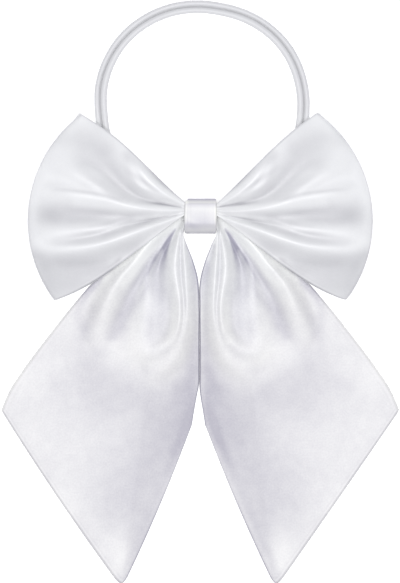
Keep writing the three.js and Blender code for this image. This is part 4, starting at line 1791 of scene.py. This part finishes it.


# Painted shade and highlight for each row of the knot's front.
KNOT_ROWS = KnotRows(
    up=(-8.7, -8.1, -7.3, -5.3, -4.2, -3.2, -2.2, 0, 2, 3.8, 5, 6, 7, 8, 8.7),
    left=(-7.5, -7.85, -8, -8.05, -8.05, -8.05, -8.05, -8.05, -8, -7.95, -7.9, -7.8, -7.6, -7.1, -6.5),
    right=(7.7, 7.9, 8, 8.05, 8.1, 8.15, 8.15, 8.2, 8.2, 8.2, 8.2, 8.15, 8.1, 8.05, 7.95),
    tone=(1, 0.7, 0.4, 0.52, 0.58, 0.66, 0.6, 0.5, 0.42, 0.35, 0.48, 0.56, 0.28, 0.55, 1),
)
# Painted shade (positive strength) and painted highlights (negative strength) on the knot's front.
KNOT_STROKES = (
    Stroke(
        "shade patch",
        out=(-6.2, -4, -1, 2),
        up=(-3.8, -4.6, -6, -6.4),
        strength=(0.04, 0.12, 0.06, 0),
        width=(0.9, 1.2, 1.3, 1.2),
    ),
    Stroke(
        "slant",
        out=(-7, -5.5, -3, 0),
        up=(0.4, -1.6, -2.8, -3.4),
        strength=(-0.15, -0.2, -0.1, 0),
        width=(1.2, 1.1, 1, 0.9),
    ),
    Stroke(
        "left light",
        out=(-7.2, -7.2, -7.2),
        up=(7.2, 4.5, 2),
        strength=(-0.3, -0.15, 0),
        width=(0.8, 0.9, 1),
    ),
    Stroke(
        "right light",
        out=(5.5, 6, 5.8),
        up=(3.5, -0.5, -3.2),
        strength=(-0.08, -0.1, -0.1),
        width=(1.4, 1.6, 1.2),
    ),
    Stroke(
        "right rim light",
        out=(7.8, 7.8, 7.8, 7.8),
        up=(6.3, 3, -2.8, -4.3),
        strength=(-0.1, -0.35, -0.35, -0.1),
        width=(0.5, 0.5, 0.5, 0.5),
    ),
    Stroke(
        "left rim light",
        out=(-7.7, -7.7, -7.7, -7.7),
        up=(3, -1, -3.3, -4.3),
        strength=(-0.1, -0.25, -0.25, 0),
        width=(0.5, 0.5, 0.5, 0.5),
    ),
)


@dataclass(frozen=True)
class Pleat:
    """A soft pleat that runs round the knot: where it is, how high and how wide to a side, in mm."""

    at: float
    rise: float
    width: float

    def height(self, x: Array) -> Array:
        """Height at the places x: the rise times a bell curve of the distance from the pleat."""
        return self.rise * np.exp(-0.5 * ((x - self.at) / self.width) ** 2)


@dataclass
class KnotWrap:
    """The short band of satin round the gathers, with its ends behind."""

    height: float = 17.4
    raised: float = 0.25  # How much further up than down the knot goes.
    depth: float = 14
    wall: float = 1.4
    back_radius: float = 2.4
    top_radius: float = 3.2
    lower_radius: float = 5.8
    arc_steps: int = 12
    side_steps: int = 14
    front_from: tuple[float, float] = (8, 12)  # Heights between which the front sets in.
    front_inset: float = 0.12  # How far the front lies in where no pleat raises it.
    pleats: tuple[Pleat, ...] = (Pleat(at=-5.6, rise=0.12, width=0.7), Pleat(at=3.4, rise=0.1, width=1.1))
    rows: int = 34
    cut: tuple[float, float] = (16.2, 60.0)
    # Even painted shade where the front doesn't show.
    hidden_painted_shade: float = 0.25
    satin: Satin = Satin("knot_satin", light=(0.94, 0.944, 0.885), deep=(0.374, 0.36, 0.46))

    def section(self) -> tuple[Array, Array]:
        """Section of the wrap in the YZ plane: a box with rounded corners.

        Returns:
            Points on its outside, and their outward directions.
        """
        half = self.height / 2
        corners = (
            (half + self.raised, 0.0, self.back_radius, -90),
            (half + self.raised, self.depth, self.top_radius, 0),
            (-half, self.depth, self.lower_radius, 90),
            (-half, 0.0, self.back_radius, 180),
        )
        points, normals = [], []
        for y, z, radius, start in corners:
            angle = np.radians(start + np.linspace(0, 90, self.arc_steps + 1))
            normal = np.stack([np.cos(angle), np.sin(angle)], axis=-1)
            centre = np.array([y - math.copysign(radius, y), z - radius if z else radius])
            points.append(centre + radius * normal)
            normals.append(normal)
        runs = []
        for k, (start, normal) in enumerate(zip(points, normals)):
            after, after_normal = points[(k + 1) % 4][0], normals[(k + 1) % 4][0]
            t = np.linspace(0, 1, self.side_steps + 1)[1:-1, None]
            straight = start[-1] + (after - start[-1]) * t
            facing = np.repeat(after_normal[None], len(t), 0)
            runs.append((np.concatenate([start, straight]), np.concatenate([normal, facing])))
        return tuple(np.concatenate(part) for part in zip(*runs))

    def make(self) -> bpy.types.Object:
        """Builds the wrap: its section carried along X between its two edges, with soft pleats.

        Returns:
            The piece.
        """
        outside, normal = self.section()
        edge = ClothEdge(self.wall, flat=(1.0, 1.3, 1.7), seam=1, seam_depth=0.05, full_span=8)
        edges = KNOT_ROWS.left, KNOT_ROWS.right
        left, right = (spline(KNOT_ROWS.up, places, outside[:, 0]) for places in edges)
        across, offset = edge.ring(right - left, self.rows)
        x = left[:, None] + across * (right - left)[:, None]
        inset = (self.wall / 2 - offset)[..., None]
        front = smoothstep(*self.front_from, outside[:, 1])[:, None] * (offset > 0)
        pleats = sum(pleat.height(x) for pleat in self.pleats)
        inset = inset + ((self.front_inset - pleats) * front)[..., None]
        section = outside[:, None, :] - normal[:, None, :] * inset
        points = np.concatenate([x[..., None], section], axis=-1)
        run = np.concatenate([[0], np.cumsum(np.linalg.norm(np.diff(outside, axis=0), axis=1))])
        cloth = np.stack([np.broadcast_to(run[:, None], x.shape), x], axis=-1)
        # Painted shade and highlight on the front: a tone for each row and the knot's strokes; an even
        # painted shade elsewhere.
        tone = spline(KNOT_ROWS.up, KNOT_ROWS.tone, section[..., 0])
        tone = np.clip(tone + layered(KNOT_STROKES, points[..., :2]), 0, 1)
        shade = tone * front + self.hidden_painted_shade * (1 - front)
        return ClothMesh("satin_knot", points, cloth, shade, cyclic=True).make()

    def dress(self, piece: bpy.types.Object) -> None:
        """Gives the knot its satin and tells the frame what it is."""
        settle(piece, self.satin, "knot_wrap")
        in_metres(self.cut)


# Neck band


@dataclass(frozen=True)
class BandPlaces:
    """How the band departs from its even circle on the way round.

    Attributes:
        angle: Places round the band, in degrees from its lowest point, rising over the right side.
        bulge: How far it bulges out there, in mm.
    """

    angle: tuple[float, ...]
    bulge: tuple[float, ...]


BAND_PLACES = BandPlaces(
    angle=(0, 84, 98, 120, 144, 168, 180, 194, 216, 240, 258, 276, 360),
    bulge=(0, 0.3, 0.5, 0.25, -0.4, -0.55, -0.1, 0.2, 0.15, 0.35, 0.35, -0.5, 0),
)


@dataclass(frozen=True)
class Wave:
    """A wave of the slit: how often it comes round the band, its start in radians, and its share."""

    count: int
    start: float
    share: float


@dataclass
class NeckBand:
    """The satin-covered elastic: two rolled edges side by side, with a slit between."""

    radius: float = 51.1
    squareness: float = 0.5  # How far the circle is drawn out to four corners.
    half_width: float = 3.2
    thickness: float = 2.4
    slit: float = 0.2  # Half the width of the slit.
    slit_floor: float = 1.0
    slit_shift: float = 0.3
    # Painted shade in the slit.
    slit_painted_shade: float = 0.75
    slit_depths: tuple[float, float] = (1.4, 0.6)  # Heights between which its tone sets in.
    slit_reach: float = 1.2  # How far to its side that tone goes.
    wander: float = 0.22
    waves: tuple[Wave, ...] = (Wave(count=3, start=0.7, share=1.0), Wave(count=7, start=2.1, share=0.7))
    shift: float = 0.6  # How far to the right the band lies.
    centre_up: float = 54.4
    lift: float = 1.75  # Rise of the band behind the knot.
    dip: float = 1.2  # How far it is drawn down there.
    lift_full: float = 10  # Distance from the centre line up to which both are full.
    lift_none: float = 27  # Distance from which there is none of either.
    steps: int = 640
    arc: int = 18
    roll_end: float = 205.0  # Angle at which a rolled edge ends in the slit.
    ground: float = 0.34
    cut: tuple[float, float] = (10.5, 321.0)
    satin: Satin = Satin("band_satin", roughness=0.45)

    def section(self, middle: Array) -> tuple[Array, Array]:
        """Section of the band: each edge is a rolled ellipse from under its middle, over its outer side
        and down into the slit.

        Args:
            middle: Place of the slit's middle in each section, as a column, in mm.

        Returns:
            Distances out from the band's circle and up from its underside in mm, a row for each section.
        """
        turn = np.radians(np.linspace(-90, self.roll_end, self.arc + 1))
        outs, ups = [], []
        for sign in (1, -1):
            inner = self.slit + sign * middle
            half = (self.half_width - inner) / 2
            out = (inner + half) + half * np.cos(turn)
            up = self.thickness / 2 * (1 + np.sin(turn)) + 0 * out
            outs.append(sign * out[:, ::sign])
            ups.append(up[:, ::sign])
        floor, under = np.full_like(middle, self.slit_floor), 0 * middle
        out = np.concatenate([outs[0], middle, outs[1], under], axis=1)
        up = np.concatenate([ups[0], floor, ups[1], under], axis=1)
        return out, up

    def make(self) -> bpy.types.Object:
        """Builds the band: its section carried round a slightly squared circle, with a slit that wanders
        by a sum of sines. Behind the knot a smooth step lifts it and draws it down.

        Returns:
            The piece.
        """
        angle = np.linspace(0, 2 * np.pi, self.steps, endpoint=False)[:, None]
        waves = sum(wave.share * np.sin(wave.count * angle + wave.start) for wave in self.waves)
        wander = self.wander * waves / sum(wave.share for wave in self.waves) + self.slit_shift
        out, up = self.section(wander)
        ring = self.radius + out - self.squareness * np.cos(4 * angle)
        ring = ring + spline(BAND_PLACES.angle, BAND_PLACES.bulge, np.degrees(angle))
        x = self.shift + ring * np.sin(angle)
        near = (1 - smoothstep(self.lift_full, self.lift_none, np.abs(x))) * (np.cos(angle) > 0)
        y = self.centre_up - ring * np.cos(angle) - self.dip * near
        points = np.stack([x, y, up + self.lift * near], axis=-1)
        cloth = np.stack([np.broadcast_to(angle * self.radius, out.shape), out], axis=-1)
        # Painted shade in the slit, over the band's even ground tone.
        in_slit = smoothstep(*self.slit_depths, up) * (np.abs(out - wander) < self.slit_reach)
        shade = self.ground + (self.slit_painted_shade - self.ground) * in_slit
        return ClothMesh("satin_band", points, cloth, shade, cyclic=True).make()

    def dress(self, piece: bpy.types.Object) -> None:
        """Gives the band its satin and tells the frame what it is."""
        settle(piece, self.satin, "neck_band")
        in_metres(self.cut)


# Studio


@dataclass
class Studio:
    """Plain pale floor, soft light from above, and the camera straight over the bow.

    The sizes of the floor and of the lamp, and the camera's clip distances, are in metres.
    """

    centre: tuple[float, float] = (-0.15, -37.5)
    field_height: float = 291.5  # What the picture's height shows.
    focus_height: float = 4.0
    lens: float = 600.0
    sensor: float = 36.0
    clip: tuple[float, float] = (0.1, 20.0)
    floor_half: float = 3.0
    floor_colour: Colour = (0.93, 0.93, 0.93)
    floor_glow: float = 0.35
    sky_colour: Colour = (0.86, 0.86, 0.95)
    sky_strength: float = 0.415
    box_height: float = 1.3
    box_size: float = 0.6
    box_power: float = 11.2

    def floor(self) -> None:
        """Makes the floor, a plain sheet at the height of the surface that the bow lies on."""
        half = self.floor_half
        mesh = bpy.data.meshes.new("floor")
        corners = [(-half, -half, 0), (half, -half, 0), (half, half, 0), (-half, half, 0)]
        mesh.from_pydata(corners, [], [(0, 1, 2, 3)])
        nodes = Nodes("floor_paper")
        place = nodes.add("ShaderNodeTexCoord", {}, {}, "Object")
        fibre = Satin.noise(nodes, place, scale=400.0, detail=2.0)
        bump = nodes.add("ShaderNodeBump", {}, {"Strength": 0.1, "Distance": 0.0001, "Height": fibre})
        inputs = {
            "Base Color": (*self.floor_colour, 1),
            "Roughness": 0.9,
            "Normal": bump,
            "Emission Color": (1, 1, 1, 1),
            "Emission Strength": self.floor_glow,
            "Specular IOR Level": 0.1,
        }
        mesh.materials.append(nodes.finish(nodes.add("ShaderNodeBsdfPrincipled", {}, inputs)))
        floor = bpy.data.objects.new("floor", mesh)
        bpy.context.scene.collection.objects.link(floor)
        floor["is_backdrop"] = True

    def light(self) -> None:
        """Hangs a soft box over the bow, in an even pale room."""
        world = bpy.data.worlds.new("room")
        world.use_nodes = True
        background = world.node_tree.nodes["Background"]
        background.inputs["Color"].default_value = (*self.sky_colour, 1)
        background.inputs["Strength"].default_value = self.sky_strength
        bpy.context.scene.world = world
        lamp = bpy.data.lights.new("soft_box", "AREA")
        lamp.shape = "DISK"
        lamp.size = self.box_size
        lamp.energy = self.box_power
        box = bpy.data.objects.new("soft_box", lamp)
        box.location = (0.0, self.centre[1] * MM, self.box_height)
        box.visible_camera = False
        bpy.context.scene.collection.objects.link(box)

    def camera(self) -> None:
        """Hangs the camera straight over the bow, far off behind a long lens."""
        data = bpy.data.cameras.new("camera")
        data.lens = self.lens
        data.sensor_width = self.sensor
        distance = self.field_height * self.lens / self.sensor + self.focus_height
        data.clip_start, data.clip_end = self.clip
        camera = bpy.data.objects.new("camera", data)
        camera.location = (self.centre[0] * MM, self.centre[1] * MM, distance * MM)
        bpy.context.scene.collection.objects.link(camera)
        bpy.context.scene.camera = camera

    def build(self) -> None:
        """Sets up the floor, the light and the camera."""
        self.floor()
        self.light()
        self.camera()
        bpy.context.scene.view_settings.view_transform = "Standard"


def main() -> None:
    """Builds the bow piece by piece."""
    logging.basicConfig(level=logging.INFO, format="%(name)s: %(message)s")
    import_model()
    model_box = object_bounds()
    Studio().build()
    makers = (BowLoops(), Tail(Sides.LEFT.value), Tail(Sides.RIGHT.value), KnotWrap(), NeckBand())
    for maker in makers:
        piece = maker.make()
        maker.dress(piece)
        log.info("%s: %d faces", piece.name, len(piece.data.polygons))
    boxes = {"model": model_box, "looks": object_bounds()}
    {name: [list(corner) for corner in box] for name, box in boxes.items()}


if __name__ == "__main__":
    main()
